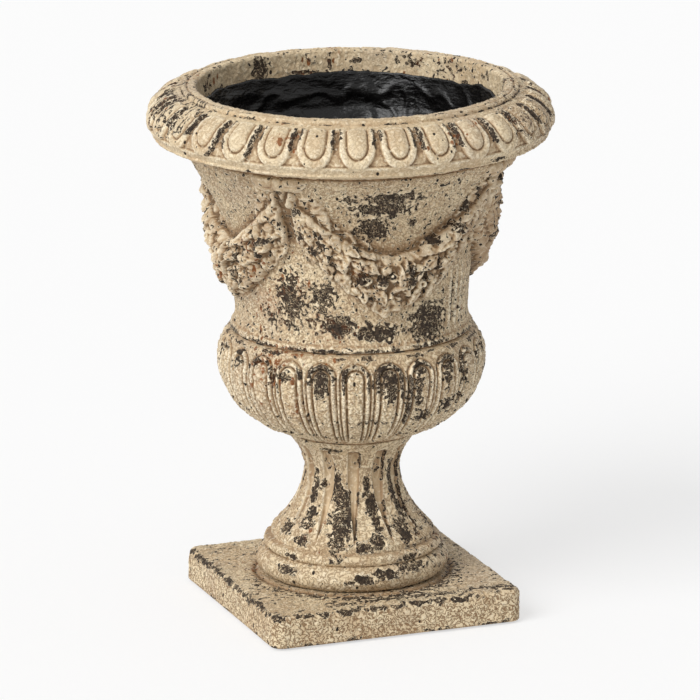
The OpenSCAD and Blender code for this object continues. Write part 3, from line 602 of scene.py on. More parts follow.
def build_pedestal(material):
    """Foot moulding, bead and lobed stem as one closed skin with its bolt hole."""
    top, stem_z = PEDESTAL_TOP, PEDESTAL_Z + FOOT_H + BEAD_H
    columns, step = PEDESTAL_GRID
    skin = Skin(pedestal_profile(step, stem_z), columns)
    points, h = skin.points(), skin.z - stem_z
    turn = view_angle(points)
    outside = (skin.normal[:, :1] > -0.3) & (skin.z < top - 1)
    on_stem = outside & (h > 0.5) & (skin.r < LOBE_R + 1) & (skin.r > WAIST_R - 1)
    rolls = outside & (skin.r > LOBE_R - 1) & (h < 1) & (skin.z > PEDESTAL_Z + 0.5)
    shown = (outside & (skin.r > WAIST_R - 4) & (skin.z > PEDESTAL_Z)) * smooth(top - 0.5, top - 2, skin.z)

    across = np.radians(skin.offset(BODY_TURN + 180 / LOBES - 90, LOBES)) * skin.r
    across += 0.7 * noise(points, 15, 26) * on_stem
    half = FLUTE_HALF * np.clip((h - BAND_H + 1) / 46, 0.1, 1)
    share = np.abs(across) / half
    fade = between(h, BAND_H - 1, BAND_H + 9, FLUTE_END_H - 2, FLUTE_END_H + 2)
    on_lobe = 1 - smooth(1.15, 0.9, share) * fade
    fade *= on_stem
    trough = dome(np.clip(share, 0, 1)) ** 0.8
    depth = FLUTE_DEPTH * (0.45 + 0.55 * smooth(0, 30, h))
    lip = 0.35 * ridge(np.abs(across) - half - 0.7, 0.8)
    crown = 1.1 * np.clip(np.abs(across) * LOBES / (math.pi * skin.r), 0, 1) ** 2
    collar = 0.5 * smooth(FLUTE_END_H - 0.5, FLUTE_END_H + 0.8, h) * on_stem
    skin.out = collar + fade * (lip - trough * depth - (1 - trough) * (0.4 - crown) * 0.6)
    rough = 0.3 * layered(points, 14, 3, 21) + 0.5 * np.clip(noise(points, 4.5, 23), -0.4, 1)
    rough = (rough + 0.5 * worms(points, 3.0, 22)) * (0.2 + 0.8 * on_lobe * (1 - 0.45 * rolls))
    patches = patch_field(points, STEM_PATCHES, 24, (PEDESTAL_Z, top))
    pitted = 0.45 * ridge(patches - 0.35, 0.18) - 0.35 * smooth(0.6, 1.0, patches)
    cracks = ridge(skin.offset(9, 23) * skin.r / 57, 0.35) * rolls * blots(points, 0, 0.4, 21, 27)
    skin.out += shown * (rough + pitted - 0.4 * cracks)

    points = skin.points()
    fields = cast_fields(points, skin.out, STEM_PATCHES, 24, (PEDESTAL_Z, top), base=0.05, vein=0.7)
    edge_line = ridge(across - half * 1.02, 0.7) * fade
    far_right = smooth(42, 66, turn) * blots(points, 0.0, 0.45, 5, 28) * shown
    fields["wear"] = most(
        fields["wear"] * (1 - 0.75 * smooth(0.95, 0.6, share) * fade), 0.85 * far_right * on_lobe,
        1.25 * edge_line * blots(points, -0.3, 0.2, 13, 29),
    )
    # painted shade in the creases above and below the bead
    crease_shade = ridge(h + BEAD_H - 0.3, 0.9) + 0.7 * ridge(h - 0.3, 1.1)
    upper = between(h, WAIST_H - 12, WAIST_H + 12, STEM_H - 9, STEM_H)
    # painted shade in the flutes, mottled and stronger on the upper stem, and along the flutes' right edges
    mottled_shade = 0.22 + 0.25 * upper + 0.3 * noise(points * np.array([1, 1, 0.4]), 6, 30)
    shade = smooth(1.1, 0.5, share) * fade * mottled_shade + 0.7 * edge_line
    # painted shade on the viewer's left side of the stem
    aside = 0.35 * smooth(-46, -80, turn) * shown * (1 + noise(points, 7, 31))
    fields["hollow"] = np.clip(0.45 * fields["hollow"] + shade + aside + 0.7 * crease_shade, 0, 1)
    # painted highlight in blots on the lower lobes
    highlight_blots = blots(points, -0.1, 0.5, 9, 32) * smooth(WAIST_H, 0, h) * shown
    fields["relief"] = np.clip(fields["relief"] + 0.3 * highlight_blots * on_lobe, -1, 1)
    fields["vein"] *= on_lobe
    finish_ring("pedestal_cast", points, fields, 3, material, "cast", "pedestal")


# Bowl

NUT_R, NUT_LOW_H, NUT_HIGH_H = 14.0, 10.0, 23.0
BOWL_STEP_R = 20.0
REBATE_GAP = 0.5
BOWL_EDGE = 1.4


def oval_r(h, inset=0.0):
    """Radius of the bowl's oval, drawn in by the inset, at height h above its foot."""
    rise = (h - BULGE_H) / (BOWL_OVAL_H - inset)
    return BOWL_CORE_R + (BOWL_R - BOWL_CORE_R - inset) * np.sqrt(np.clip(1 - rise * rise, 0, 1))


BOWL_TOP_R = float(oval_r(BOWL_H))
NECK_FOOT_R = BOWL_TOP_R - SHOULDER_IN
NECK_BORE_R = NECK_FOOT_R - WALL


def bowl_profile(step):
    """Closed outline of the bowl, with the rebate for the neck, the floor and the bolt hole."""
    rebate_r, rebate_h = NECK_BORE_R + TONGUE_T + REBATE_GAP, BOWL_H - TONGUE_H - REBATE_GAP
    profile = outline((rebate_r, BOWL_TOP), (BOWL_TOP_R - 1.8, BOWL_TOP), step=1.5)
    profile += rounded(BOWL_TOP_R, BOWL_TOP, BOWL_EDGE, 60)
    turn = math.asin((BOWL_H - 1.2 - BULGE_H) / BOWL_OVAL_H)
    low = math.asin(-(BULGE_H - 0.8) / BOWL_OVAL_H)
    for t in np.linspace(turn, low, round((turn - low) * (BOWL_R - 10) / step)):
        r = max(BOWL_FOOT_R, BOWL_CORE_R + (BOWL_R - BOWL_CORE_R) * math.cos(t))
        profile.append((r, BOWL_Z + BULGE_H + BOWL_OVAL_H * math.sin(t)))
    under = [(BOWL_FOOT_R - 1, 0), (BOWL_STEP_R, 0), (BOWL_STEP_R, -BOSS_H), (HOLE_R, -BOSS_H)]
    profile += outline(*[(r, BOWL_Z + h) for r, h in under], step=6)
    bolt = [(HOLE_R, -BOSS_H), (HOLE_R, NUT_LOW_H), (NUT_R, NUT_LOW_H), (NUT_R, NUT_HIGH_H)]
    bolt += [(BOSS_R, NUT_HIGH_H), (BOSS_R, FLOOR_T)]
    inner = [(float(oval_r(h, WALL)), BOWL_Z + h) for h in np.linspace(FLOOR_T, rebate_h, 10)]
    profile += outline(*[(r, BOWL_Z + h) for r, h in bolt], inner[0], step=9) + inner[:-1]
    return profile + outline(inner[-1], (rebate_r, BOWL_Z + rebate_h), (rebate_r, BOWL_TOP), step=4)


def build_bowl(material):
    """Gadrooned bowl as one closed skin."""
    columns, step = BOWL_GRID
    skin = Skin(bowl_profile(step), columns)
    points, h = skin.points(), skin.z - BOWL_Z
    outside = (skin.normal[:, :1] > -0.75) & (skin.r > BOWL_FOOT_R - 2) & (skin.r > oval_r(h) - 3)
    shown = outside.astype(float)
    across = np.radians(skin.offset(BODY_TURN - 90, GADROONS)) * BOWL_R + 0.45 * noise(points, 16, 38)
    from_dart = np.abs(across) - math.pi * BOWL_R / GADROONS
    top = BOWL_H - BOWL_BAND_H
    down = np.where(h > BULGE_H, top - h, top - BULGE_H + 1.12 * (BULGE_H - h)) + 0.5 * noise(points, 13, 39)
    inside = TONGUE - np.hypot(across, np.maximum(0, TONGUE - down))
    fine = 1 - 0.4 * smooth(26, 3, h)
    grooves = fine * (1.6 * ridge(inside, 1.1) + 1.5 * ridge(inside - 4.6, 1.05))
    border, panel = dome((inside - 2.3) / 2.1), smooth(4.7, 6.4, inside)
    belly = panel * (0.5 + 1.0 * dome(across / 6.8))
    spandrel = smooth(-0.3, -1.6, inside)
    dart = 1.2 * ridge(from_dart, 0.9) * smooth(5, 12, down)
    skin.out = (1.15 * border + belly - grooves - 0.5 * spandrel + dart) * smooth(1.5, 8, h) * shown
    rough = 0.4 * layered(points, 18, 3, 31)
    rough += (0.45 + 0.45 * panel) * (worms(points * np.array([1, 1, 0.8]), 3.2, 32) - 0.5)
    crackle = ridge(noise(points * np.array([1, 1, 1.5]), 10, 40), 0.035) * panel * smooth(4, 12, down)
    skin.out += shown * (rough - 0.5 * crackle) * between(h, 0, 1.5, BOWL_H - 1.5, BOWL_H)

    points = skin.points()
    fields = cast_fields(points, skin.out, BOWL_PATCHES, 33, (BOWL_Z + 8, BOWL_TOP), vein=0.65)
    crest = dome((inside - 2.3) / 2.6)
    crests = most(crest, panel, ridge(from_dart, 1.3))
    crests = np.maximum(crests * smooth(-1, 0.5, inside + 10 * (dart > 0.3)), 0.12)
    sector = (np.degrees(skin.a) // (180 / GADROONS)).astype(int) % (GADROONS * 2)
    picked = np.random.default_rng(34).uniform(0, 1, GADROONS * 2)[sector]
    own = crest * ridge(down - 7, 8) * smooth(0.3, 0.7, picked) * 1.15 * blots(points, -0.35, 0.25, 8, 35)
    squares = ridge(h - 28, 1.5) * blots(points, 0.1, 0.3, 5, 36)
    squares += ridge(h - 13, 1.2) * blots(points, 0.0, 0.25, 4.5, 41)
    shoulder = ridge(h - BOWL_H + 1.8, 1.5) * blots(points, -0.25, 0.3, 11, 37)
    fields["wear"] = most(
        fields["wear"] * crests * 1.1, own, 1.25 * squares * shown * crests, 1.15 * shoulder * shown,
        0.07 * shown,
    )
    # painted shade in the gadroons' grooves and spandrels and round the bowl's foot, of mottled strength
    grooves = ridge(inside, 1.4) + ridge(inside - 4.6, 1.2) + 0.45 * spandrel + ridge(h - 1, 4)
    wear_and_shade = 0.26 + 0.25 * noise(points, 14, 42)
    fields["hollow"] = np.clip(0.55 * fields["hollow"] + wear_and_shade * grooves * shown, 0, 1)
    finish_ring("bowl_cast", points, fields, 3, material, "cast", "bowl")


# Neck


def bend_rise(h):
    """How far the neck's bend has risen at height h."""
    return (np.sqrt((h - BEND_H) ** 2 + BEND_SPREAD**2) + h - BEND_H) / 2


THROAT_R = NECK_FOOT_R - THROAT_IN
FLARE_SLOPE = (NECK_TOP_R - THROAT_R - LEAN * (NECK_H - THROAT_H)) / (bend_rise(NECK_H) - bend_rise(THROAT_H))
NECK_TOP_BORE_R = NECK_TOP_R - WALL
TONGUE_REACH = TONGUE_H + 1.0
NECK_EDGE = 0.8


def neck_r(h):
    """Radius of the neck's outside at height h above its foot."""
    foot = THROAT_R + THROAT_IN * np.clip(1 - h / THROAT_H, 0, None) ** 2
    upper = THROAT_R + LEAN * (h - THROAT_H) + FLARE_SLOPE * (bend_rise(h) - bend_rise(THROAT_H))
    return np.where(h < THROAT_H, foot, upper)


def neck_profile(step):
    """Closed outline of the neck with a tongue at each end."""
    low_r, low_z = NECK_BORE_R + TONGUE_T, NECK_Z - TONGUE_REACH
    high_r, high_z = NECK_TOP_BORE_R + TONGUE_T, NECK_TOP + TONGUE_REACH
    heights = np.linspace(NECK_H - NECK_EDGE, NECK_EDGE, round(NECK_H * 1.05 / step))
    inner = [(float(neck_r(h)) - WALL, NECK_Z + h) for h in np.linspace(0, NECK_H, 18)]
    profile = outline((high_r, NECK_TOP), (NECK_TOP_R - NECK_EDGE, NECK_TOP), step=1.5)
    profile += [(float(neck_r(h)), NECK_Z + h) for h in heights]
    profile += outline((NECK_FOOT_R - NECK_EDGE, NECK_Z), (low_r, NECK_Z), step=1.5)
    profile += outline((low_r, NECK_Z), (low_r, low_z), (NECK_BORE_R, low_z), inner[0], step=4)
    return profile + inner + outline((NECK_TOP_BORE_R, high_z), (high_r, high_z), (high_r, NECK_TOP), step=4)


def build_neck(material):
    """Bell-shaped neck as one closed skin."""
    columns, step = NECK_GRID
    skin = Skin(neck_profile(step), columns)
    points, h = skin.points(), skin.z - NECK_Z
    shown = (skin.r > neck_r(h) - 2) * between(h, 0, 1.2, NECK_H - 1.2, NECK_H)
    patches = patch_field(points, NECK_PATCHES, 44, (NECK_Z + 4, NECK_TOP))
    rough = 0.35 * layered(points, 22, 3, 41) + 0.75 * worms(points, 2.8, 42) + 0.2 * noise(points, 5, 43)
    pitted = 0.35 * ridge(patches - 0.3, 0.2) * (noise(points, 3, 46) + 0.4) - 0.3 * smooth(0.6, 1.0, patches)
    right = skin.offset(CAMERA_TURN + 62 - 90, 1)
    ribs = sum(ridge(right - place, 1.1) for place in (-6.5, -1, 4)) * between(h, 2, 14, 44, 62)
    valley = ridge(right + 3.7, 0.9) * between(h, 8, 16, 40, 50)
    skin.out = shown * (rough + pitted + 1.3 * ribs - 1.2 * valley + 0.6 * smooth(4.6, 3.2, h))

    points = skin.points()
    fields = cast_fields(points, skin.out, NECK_PATCHES, 44, (NECK_Z + 4, NECK_TOP), vein=0.7)
    # painted shade on the neck along the swags
    shade = swag_shade(skin.offset(SWAG_TURN, SWAGS), h) * shown
    dashes = 1.1 * ridge(h - 1.2, 1.2) * blots(points, -0.3, 0.25, 13, 45)
    low_part = between(h, 10, 16, 22, 34) * blots(points, -0.2, 0.4, 16, 47)
    stray = 0.1 + 0.5 * low_part * smooth(60, 30, np.abs(view_angle(points) + 10))
    # more worn paint where that painted shade lies
    wear_by_shade = 0.4 * shade * noise(points, 9, 48)
    fields["wear"] = most(fields["wear"], dashes, wear_by_shade, stray, 1.4 * valley)
    # painted highlight on the ribs
    fields["relief"] = np.clip(fields["relief"] + 0.6 * ribs, -1, 1)
    # painted shade under the rim and just above the neck's foot
    shade_at_ends = 0.4 * ridge(h - NECK_H, 5) + 0.5 * ridge(h - 5, 1.2)
    fields["hollow"] = np.clip(0.5 * fields["hollow"] + shade + shade_at_ends, 0, 1)
    finish_ring("neck_cast", points, fields, 3, material, "cast", "neck")


# Rim

OVOLO_TOP_H = RIM_H - LIP_H
OVOLO_MID_H = OVOLO_TOP_H - OVOLO_H
OVOLO_HALF_H = OVOLO_H / math.cos(math.radians(OVOLO_START))
OVOLO_HALF_W = (RIM_R - LIP_R - LIP_STEP) / (1 - math.sin(math.radians(OVOLO_START)))
LIP_BORE_R = LIP_R - LIP_W
LIP_EDGE = 2.0
GRAIN_R = 140.0
LIP_GROOVE_R = LIP_R - 3.6
RIM_REBATE_R, RIM_REBATE_H = 117.5, 5.5


def rim_profile(step):
    """Closed outline of the rim, and the first and last row of its egg moulding."""
    top, base, edge = RIM_TOP, RIM_Z, LIP_EDGE
    centre = (RIM_R - OVOLO_HALF_W, base + OVOLO_MID_H)
    fillet_r, fillet_z = RIM_R - FILLET_IN, centre[1] - FILLET_H
    cove_z, bore_z = base + OVOLO_TOP_H, LINER_TOP - 10
    profile = outline((LIP_BORE_R + edge, top), (LIP_R - edge, top), step=step)
    profile += rounded(LIP_R, top, edge, 90)
    profile += outline((LIP_R, top - edge), (LIP_R, cove_z + 0.6), (LIP_R + 0.9, cove_z), step=0.6)
    first = len(profile)
    profile += arc(centre, (OVOLO_HALF_W, OVOLO_HALF_H), OVOLO_START, OVOLO_END, step)
    last = len(profile)
    profile += outline((RIM_R - 0.6, centre[1] - 3.4), (fillet_r + 0.3, fillet_z + 1.6), step=step)
    profile += arc((fillet_r - 0.4, fillet_z + 0.6), (1.3, 1.1), 50, 190, 0.5)
    profile += outline((fillet_r - 2, fillet_z - 0.6), (NECK_TOP_R + 0.6, base + 0.4), step=1.0)
    rebate = [(RIM_REBATE_R, base), (RIM_REBATE_R, base + RIM_REBATE_H)]
    rebate.append((NECK_TOP_BORE_R + 0.3, base + RIM_REBATE_H))
    profile += outline((NECK_TOP_R - 0.4, base), *rebate, step=3)
    profile += outline(rebate[-1], (LIP_BORE_R - 1, bore_z), step=5)
    profile += outline((LIP_BORE_R - 1, bore_z), (LIP_BORE_R, top - edge), step=1.0)
    return profile + arc((LIP_BORE_R + edge, top - edge), (edge, edge), 270, 360, EDGE_STEP), first, last


def build_rim(material):
    """Lip, egg moulding and fillet as one closed skin."""
    columns, step = RIM_GRID
    profile, first, last = rim_profile(step)
    skin = Skin(profile, columns)
    rows = np.arange(len(profile))[:, None]
    on_ovolo = ((rows >= first) & (rows < last)).astype(float)
    on_lip = ((rows < first) | (skin.r < LIP_BORE_R + 2.2)) * np.ones_like(skin.r)
    below_top, from_groove = RIM_TOP - skin.z, skin.r - LIP_GROOVE_R
    on_face = below_top < 1.5
    shown = ((skin.z > RIM_Z + 1) & ((skin.r > LIP_BORE_R + 0.5) | (skin.z > LINER_TOP - 8))).astype(float)
    down = (skin.along[:-1] - skin.along[first])[:, None] * np.ones_like(skin.r)
    up = skin.along[last] - skin.along[first] - down
    points = skin.points()
    across = np.radians(skin.offset(RIM_TURN, EGGS)) * RIM_R + 0.5 * noise(points, 14, 62)
    inside = EGG_HALF - np.hypot(across, np.maximum(0, EGG_LENGTH - up - 1) * EGG_HALF / EGG_LENGTH)
    fade = smooth(4.5, 7.5, down) * on_ovolo
    ground = smooth(0.4, -0.9, inside)
    border = dome((inside - EGG_BORDER / 2) / (EGG_BORDER / 2))
    groove = ridge(inside - EGG_BORDER - 0.4, 0.75)
    core = np.clip((inside - EGG_BORDER - 0.6) / (EGG_HALF - EGG_BORDER - 0.6), 0, 1)
    egg = 2.6 * dome(1 - core) - 0.2 * (core > 0)
    skin.out = (0.9 * border - 1.9 * ground - groove + egg) * fade
    wavy = (0.5 * layered(points, 20, 2, 51) + 0.25 * noise(points, 5, 52)) * on_lip
    wavy -= ridge(from_groove, 0.9) * on_face
    rough = 0.35 * layered(points, 12, 3, 53) + 0.4 * worms(points, 3.0, 54)
    skin.out += shown * (wavy + rough + 0.5 * ground * noise(points, 3, 63))

    points = skin.points()
    spread = (RIM_Z + 10, RIM_TOP)
    fields = cast_fields(points, skin.out, RIM_PATCHES, 55, spread, base=0.02, vein=0.4, scale=1.0)
    turn = view_angle(points)
    aside = np.abs(turn)
    lines = noise(around(GRAIN_R, skin.a, 0.17 * down + 0.1 * skin.z), 2.2, 64)
    draw = np.random.default_rng(56)
    sector = ((np.degrees(skin.a) - RIM_TURN + 180 / EGGS) // (180 / EGGS)).astype(int) % (EGGS * 2)
    share = (0.55 + 0.75 * draw.uniform(0, 1, EGGS * 2))[sector]
    low_end = 22 + 8 * draw.uniform(-1, 1, EGGS * 2)[sector] + 4 * noise(points, 6, 57)
    low_end += 8 * ridge(turn + 44, 16)
    streak = smooth(-1.1, -0.2, inside) * smooth(2.4, 1.1, inside + 1.6 * noise(points, 4, 58))
    streak *= smooth(3.5, 6, down) * smooth(low_end + 3, low_end, down) * on_ovolo * 1.3 * share
    over = blots(points, 0.25, 0.7, 30, 66) * ridge(down - 9, 4) * smooth(0, 2, inside) * fade
    far_left = between(turn, -112, -95, -60, -46) * (down > -8) * shown
    far_left *= smooth(0.12, 0.3, lines) * smooth(32, 24, down)
    to_right = between(turn, 46, 60, 95, 112)
    far_right = smooth(0.0, 0.5, worms(points, 7, 65) - 0.5 + 0.5 * lines)
    far_right *= to_right * shown * smooth(36, 28, down)
    far_back = smooth(150, 165, aside) * smooth(0.1, 0.5, lines) * smooth(26, 18, down) * on_ovolo
    lip_line = ridge(below_top - 3.2, 0.9) * (skin.r > LIP_R - 4) * blots(points, -0.15, 0.3, 9, 59) * on_lip
    lip_chips = on_lip * blots(points, 0.3, 0.6, 6, 67) * (skin.r > LIP_R - 6)
    rings = ridge(from_groove, 1.0) * on_face + ridge(down + 0.8, 1.3) * on_lip
    rings *= between(aside, 38, 62, 120, 150) * blots(points, -0.25, 0.2, 10, 70)
    bore = on_lip * (skin.r < LIP_BORE_R + 1.5)
    low_bore = bore * smooth(LINER_TOP + 6, LINER_TOP, skin.z) * blots(points, 0.1, 0.5, 9, 60)
    spots = patch_field(points, BORE_PATCHES, 61, (LINER_TOP, RIM_TOP), 0.6) * bore
    inner_line = ridge(np.hypot(skin.r - LIP_BORE_R - 1.6, 1.0 - below_top), 1.0)
    inner_line *= blots(points, -0.3, 0.2, 8, 69)
    fields["wear"] = most(
        fields["wear"], streak, 0.6 * over, 1.1 * far_left, 0.15 * far_right, 0.9 * far_back, 1.05 * lip_line,
        0.6 * lip_chips, 0.85 * rings, 0.04 * bore, 1.1 * low_bore, spots, 1.1 * inner_line,
    )
    # painted shade between and round the eggs, in the cove above them, under them and in the lip's groove
    shade = (0.28 * ground + 0.42 * groove) * (0.8 + 0.6 * noise(points, 12, 68)) * fade
    cove_shade = ridge(down + 1, 1.5) + 0.5 * ridge(up + 3.5, 1.4) + ridge(from_groove, 1.0) * on_face
    fields["hollow"] = np.clip(0.6 * fields["hollow"] + shade + 0.4 * cove_shade * shown, 0, 1)
    fields["vein"] = 0.35 + 0.4 * to_right
    finish_ring("rim_cast", points, fields, 3, material, "cast", "rim")


# Beds of mortar that show as a narrow groove between two sections: node, outer radius, wear and seed

JOINT_DEPTH = 5.0
JOINTS = (("bowl_bed", 47.8, 0.6, 141), ("shoulder_bed", 89.2, 0.9, 151), ("rim_bed", 123.7, 0.1, 161))


def build_joint(node, material, out_r, wear_and_shade, seed):
    """A bed of mortar, smeared a little over the edges of the two sections."""
    low, high = (corner[2] for corner in box_mm(node))
    in_r = out_r - JOINT_DEPTH
    corners = [
        (in_r, high), (out_r - 1.2, high + 1.6), (out_r, high + 0.5),
        (out_r, low - 0.5), (out_r - 1.2, low - 1.6), (in_r, low), (in_r, high),
    ]
    columns, step = JOINT_GRID
    skin = Skin(outline(*corners, step=step), columns)
    points = skin.points()
    skin.out = (0.35 * noise(points, 7, seed) + 0.3 * noise(points, 2.5, seed + 1)) * (skin.r > in_r + 1)
    points = skin.points()
    fields = {"wear": wear_and_shade * blots(points, -0.1, 0.35, 12, seed + 2)}
    finish_ring(node + "_joint", points, fields, 3, material, "mortar", node)


# Lining

LINER_T, LINER_GAP = 1.5, 0.4
AXIS_R = 0.05
EDGE_CIRCLE_R = 90.0


def build_liner(material):
    """Brushed lining as a thin closed skin with long smooth folds and a wavy upper edge."""
    wall = [(float(oval_r(h, WALL)), BOWL_Z + h) for h in np.linspace(FLOOR_T, BOWL_H - 8, 40)]
    wall += [(float(neck_r(h)) - WALL, NECK_Z + h) for h in np.linspace(0, NECK_H, 100)]
    for t in np.linspace(0.1, 1, 24):
        spread, rise = LIP_BORE_R - NECK_TOP_BORE_R, LINER_TOP - NECK_TOP
        wall.append((NECK_TOP_BORE_R + spread * t, NECK_TOP + rise * t))
    wall = np.array(wall) - np.array([LINER_GAP, 0])
    floor_r, floor_z = wall[0, 0], LINER_FLOOR + LINER_GAP
    floor = [(r, floor_z) for r in np.linspace(floor_r - 1, AXIS_R, 30)]
    inner_floor = [(r, floor_z + LINER_T) for r in np.linspace(AXIS_R, floor_r - 3, 30)]
    skin = Skin([*wall[::-1], *floor, *inner_floor, *(wall[3:] - np.array([LINER_T, 0]))], LINER_COLUMNS)
    is_inside = np.arange(len(skin.profile))[:, None] >= len(wall) + len(floor)
    points = skin.points()
    bent = points * np.array([1, 1, 1.2]) + 15 * np.stack([noise(points, 48, n) for n in (71, 72, 73)], -1)
    folds = 2.0 * smooth(-0.6, 0.6, noise(bent, 30, 74)) + 1.2 * ridge(noise(bent, 21, 75), 0.2)
    slant = np.stack([points[..., 0] + points[..., 2], points[..., 1], 0.12 * points[..., 2]], -1)
    folds += 0.9 * (noise(bent, 13, 76) + 0.4) + 0.14 * noise(slant, 2.4, 79)
    folds = np.clip(folds, 0, None) * (0.3 + 0.7 * smooth(LINER_TOP - 1, LINER_TOP - 14, skin.z))
    on_floor = (skin.r < floor_r - 2) & (skin.z < LINER_FLOOR + 3)
    skin.out = np.where(is_inside, folds * (1 - 0.65 * on_floor), 0)
    circle = around(EDGE_CIRCLE_R, skin.a, skin.a * 0)
    edge = 3.6 * noise(circle, 32, 77) + 1.6 * noise(circle, 11, 78) + 0.5 * noise(circle, 3, 80)
    skin.z = skin.z + edge * smooth(LINER_TOP - 30, LINER_TOP, skin.z)
    finish_ring("lining_skin", skin.points(), {"relief": skin.out / 4}, 3, material, "lining", "liner")


# Swags and knots, as reliefs over the neck. Places are millimetres along the neck from the swag's
# middle and heights above the neck's foot. A leaf is given by its base, tip and width, and a fruit by
# its place and radius. The window of a relief is its reach to each side and its lowest and highest place.

LEAVES = [
    ((62, 123), (47, 97), 15), ((53, 105), (38, 84), 13), ((42, 94), (26, 78), 11), ((30, 86), (15, 75), 10),
    ((66, 112), (57, 84), 13), ((57, 98), (46, 72), 14), ((46, 86), (35, 64), 13), ((69, 104), (66, 80), 10),
    ((62, 90), (58, 68), 11), ((52, 78), (46, 57), 11), ((41, 66), (34, 47), 10), ((30, 58), (22, 39), 9),
    ((28, 74), (13, 64), 9), ((17, 52), (8, 37), 8),
]
LEFT_LEAVES = [
    ((-66, 118), (-44, 97), 17), ((-52, 94), (-37, 86), 8), ((-45, 86), (-36, 66), 16),
    ((-58, 88), (-48, 60), 9), ((-64, 99), (-63, 68), 8), ((-33, 76), (-20, 66), 9),
]
SHEAF = [((6, 46), (1, 70), 5), ((6, 46), (6, 74), 5), ((6, 46), (11, 71), 5), ((7, 46), (16, 64), 5)]
FRUIT = [
    (-38, 60, 6), (-30, 50, 5), (-22, 59, 4.5), (-11, 56, 4.5), (15, 66, 4), (17, 53, 4.5), (33, 66, 5),
    (24, 57, 3.5), (15, 43, 3.5), (-27, 68, 3.5), (-17, 67, 4), (-3, 60, 4), (-19, 49, 4), (-8, 66, 3.5),
]
FRUIT_HOLES = [(-38, 60), (-22, 59), (17, 53)]
CAP_BALLS = [(-69, 121, 6), (69, 121, 6)]
OUTSIDE, SUNK, LOWEST = -50.0, -3.0, -1.6
BACK_DEPTH = 2.2
KNOT_H = SWAG_END_TOP + KNOT_RISE
SWAG_WINDOW, SWAG_STEP = (74.0, 14.0, 134.0), 0.5
KNOT_WINDOW, KNOT_STEP = (21.0, KNOT_H - 15, KNOT_H + 10), 0.4
RELIEF_MAP_EDGE = 0.004


def swag_edges(t):
    """Upper and lower edge of a swag, where t is the share of the way to its ends."""
    t = np.abs(t)
    top = SWAG_MID_TOP + (SWAG_END_TOP - SWAG_MID_TOP) * t**SWAG_TOP_POWER
    low = SWAG_MID_LOW + (SWAG_END_LOW - SWAG_MID_LOW) * t**SWAG_LOW_POWER
    return top, low


def swag_shade(away, h):
    """Painted shade on the neck above the swags' upper edges, below their lower edges and in the channel
    between swags, from 0 to 1. The first number is the angle in degrees from the middle of the nearest swag."""
    t = away / SWAG_HALF
    top, low = swag_edges(np.clip(t, -1, 1))
    above = smooth(13, 0.5, h - top) * (h > top - 3)
    below = smooth(4, 0, low - h) * (h < low + 3)
    channel = ridge((1 - np.abs(t)) * SWAG_HALF, 4.0) * smooth(SWAG_END_LOW - 12, SWAG_END_LOW + 4, h)
    channel *= smooth(SWAG_END_TOP + 12, SWAG_END_TOP, h)
    return np.clip(most(0.9 * above, 0.6 * below, 1.1 * channel), 0, 1)


def leaf_relief(x, h, base, tip, width, lift):
    """Height of one leaf above the garland's ground."""
    length = math.hypot(tip[0] - base[0], tip[1] - base[1])
    cos, sin = (tip[0] - base[0]) / length, (tip[1] - base[1]) / length
    along = ((x - base[0]) * cos + (h - base[1]) * sin) / length
    side = -(x - base[0]) * sin + (h - base[1]) * cos - 1.6 * np.sin(math.pi * np.clip(along, 0, 1))
    inside = (along > 0) & (along < 1)
    along = np.clip(along, 1e-4, 1 - 1e-4)
    half = width / 2 * np.sin(math.pi * along**0.7) ** 0.8 * (1 + 0.07 * np.sin(along * length * 1.5))
    q = np.abs(side) / np.maximum(half, 0.05)
    veins = 0.4 * np.sin((along * length - np.abs(side)) * 2 * math.pi / 3.4) * np.clip(1 - q, 0, 1)
    body = lift * along + 2.4 * dome(q) - 1.2 * ridge(side, 0.8) * smooth(0, 0.15, along) + veins
    return np.where(inside & (q < 1), body, OUTSIDE)


def ball_relief(x, h, centre_x, centre_h, radius):
    """Height of a round fruit above the garland's ground."""
    away = np.hypot(x - centre_x, h - centre_h) / radius
    return np.where(away < 1, radius * 1.05 * dome(away), OUTSIDE)


def shell_relief(x, h):
    """Height of the fluted fan that hangs under the swag's middle."""
    dx, dz = x + 6, h - 47
    away = np.hypot(dx, dz)
    turn = np.degrees(np.arctan2(dx, -dz))
    wave = np.cos(np.radians(turn * 10))
    reach = 19 - 0.0022 * turn**2 + 0.8 * wave
    body = 3.4 + 0.9 * wave * smooth(3, 8, away) + 1.6 * ridge(away - reach + 2.2, 2.4)
    return np.where((away < reach) & (np.abs(turn) < 68), body, OUTSIDE)


def tufts(x, h, size, seed):
    """Small leaves packed side by side, from 0 in the gaps between them to 1 on top."""
    bent = np.stack([x + 0.35 * h, h - 0.2 * x]) / size
    base = np.floor(bent).astype(np.int64)
    first, second = np.full(x.shape, 9.0), np.full(x.shape, 9.0)
    for step in np.ndindex(3, 3):
        cell = base + np.array(step)[:, None, None] - 1
        key = hashed(np.stack([*cell, cell[0] * 0], -1), seed)
        centre = cell + 0.15 + 0.7 * np.stack([key & 255, key >> 8 & 255]) / 255
        away = np.hypot(*(bent - centre))
        first, second = np.minimum(first, away), np.minimum(second, np.maximum(first, away))
    return smooth(0.0, 0.5, second - first) * (1 - 0.5 * first)


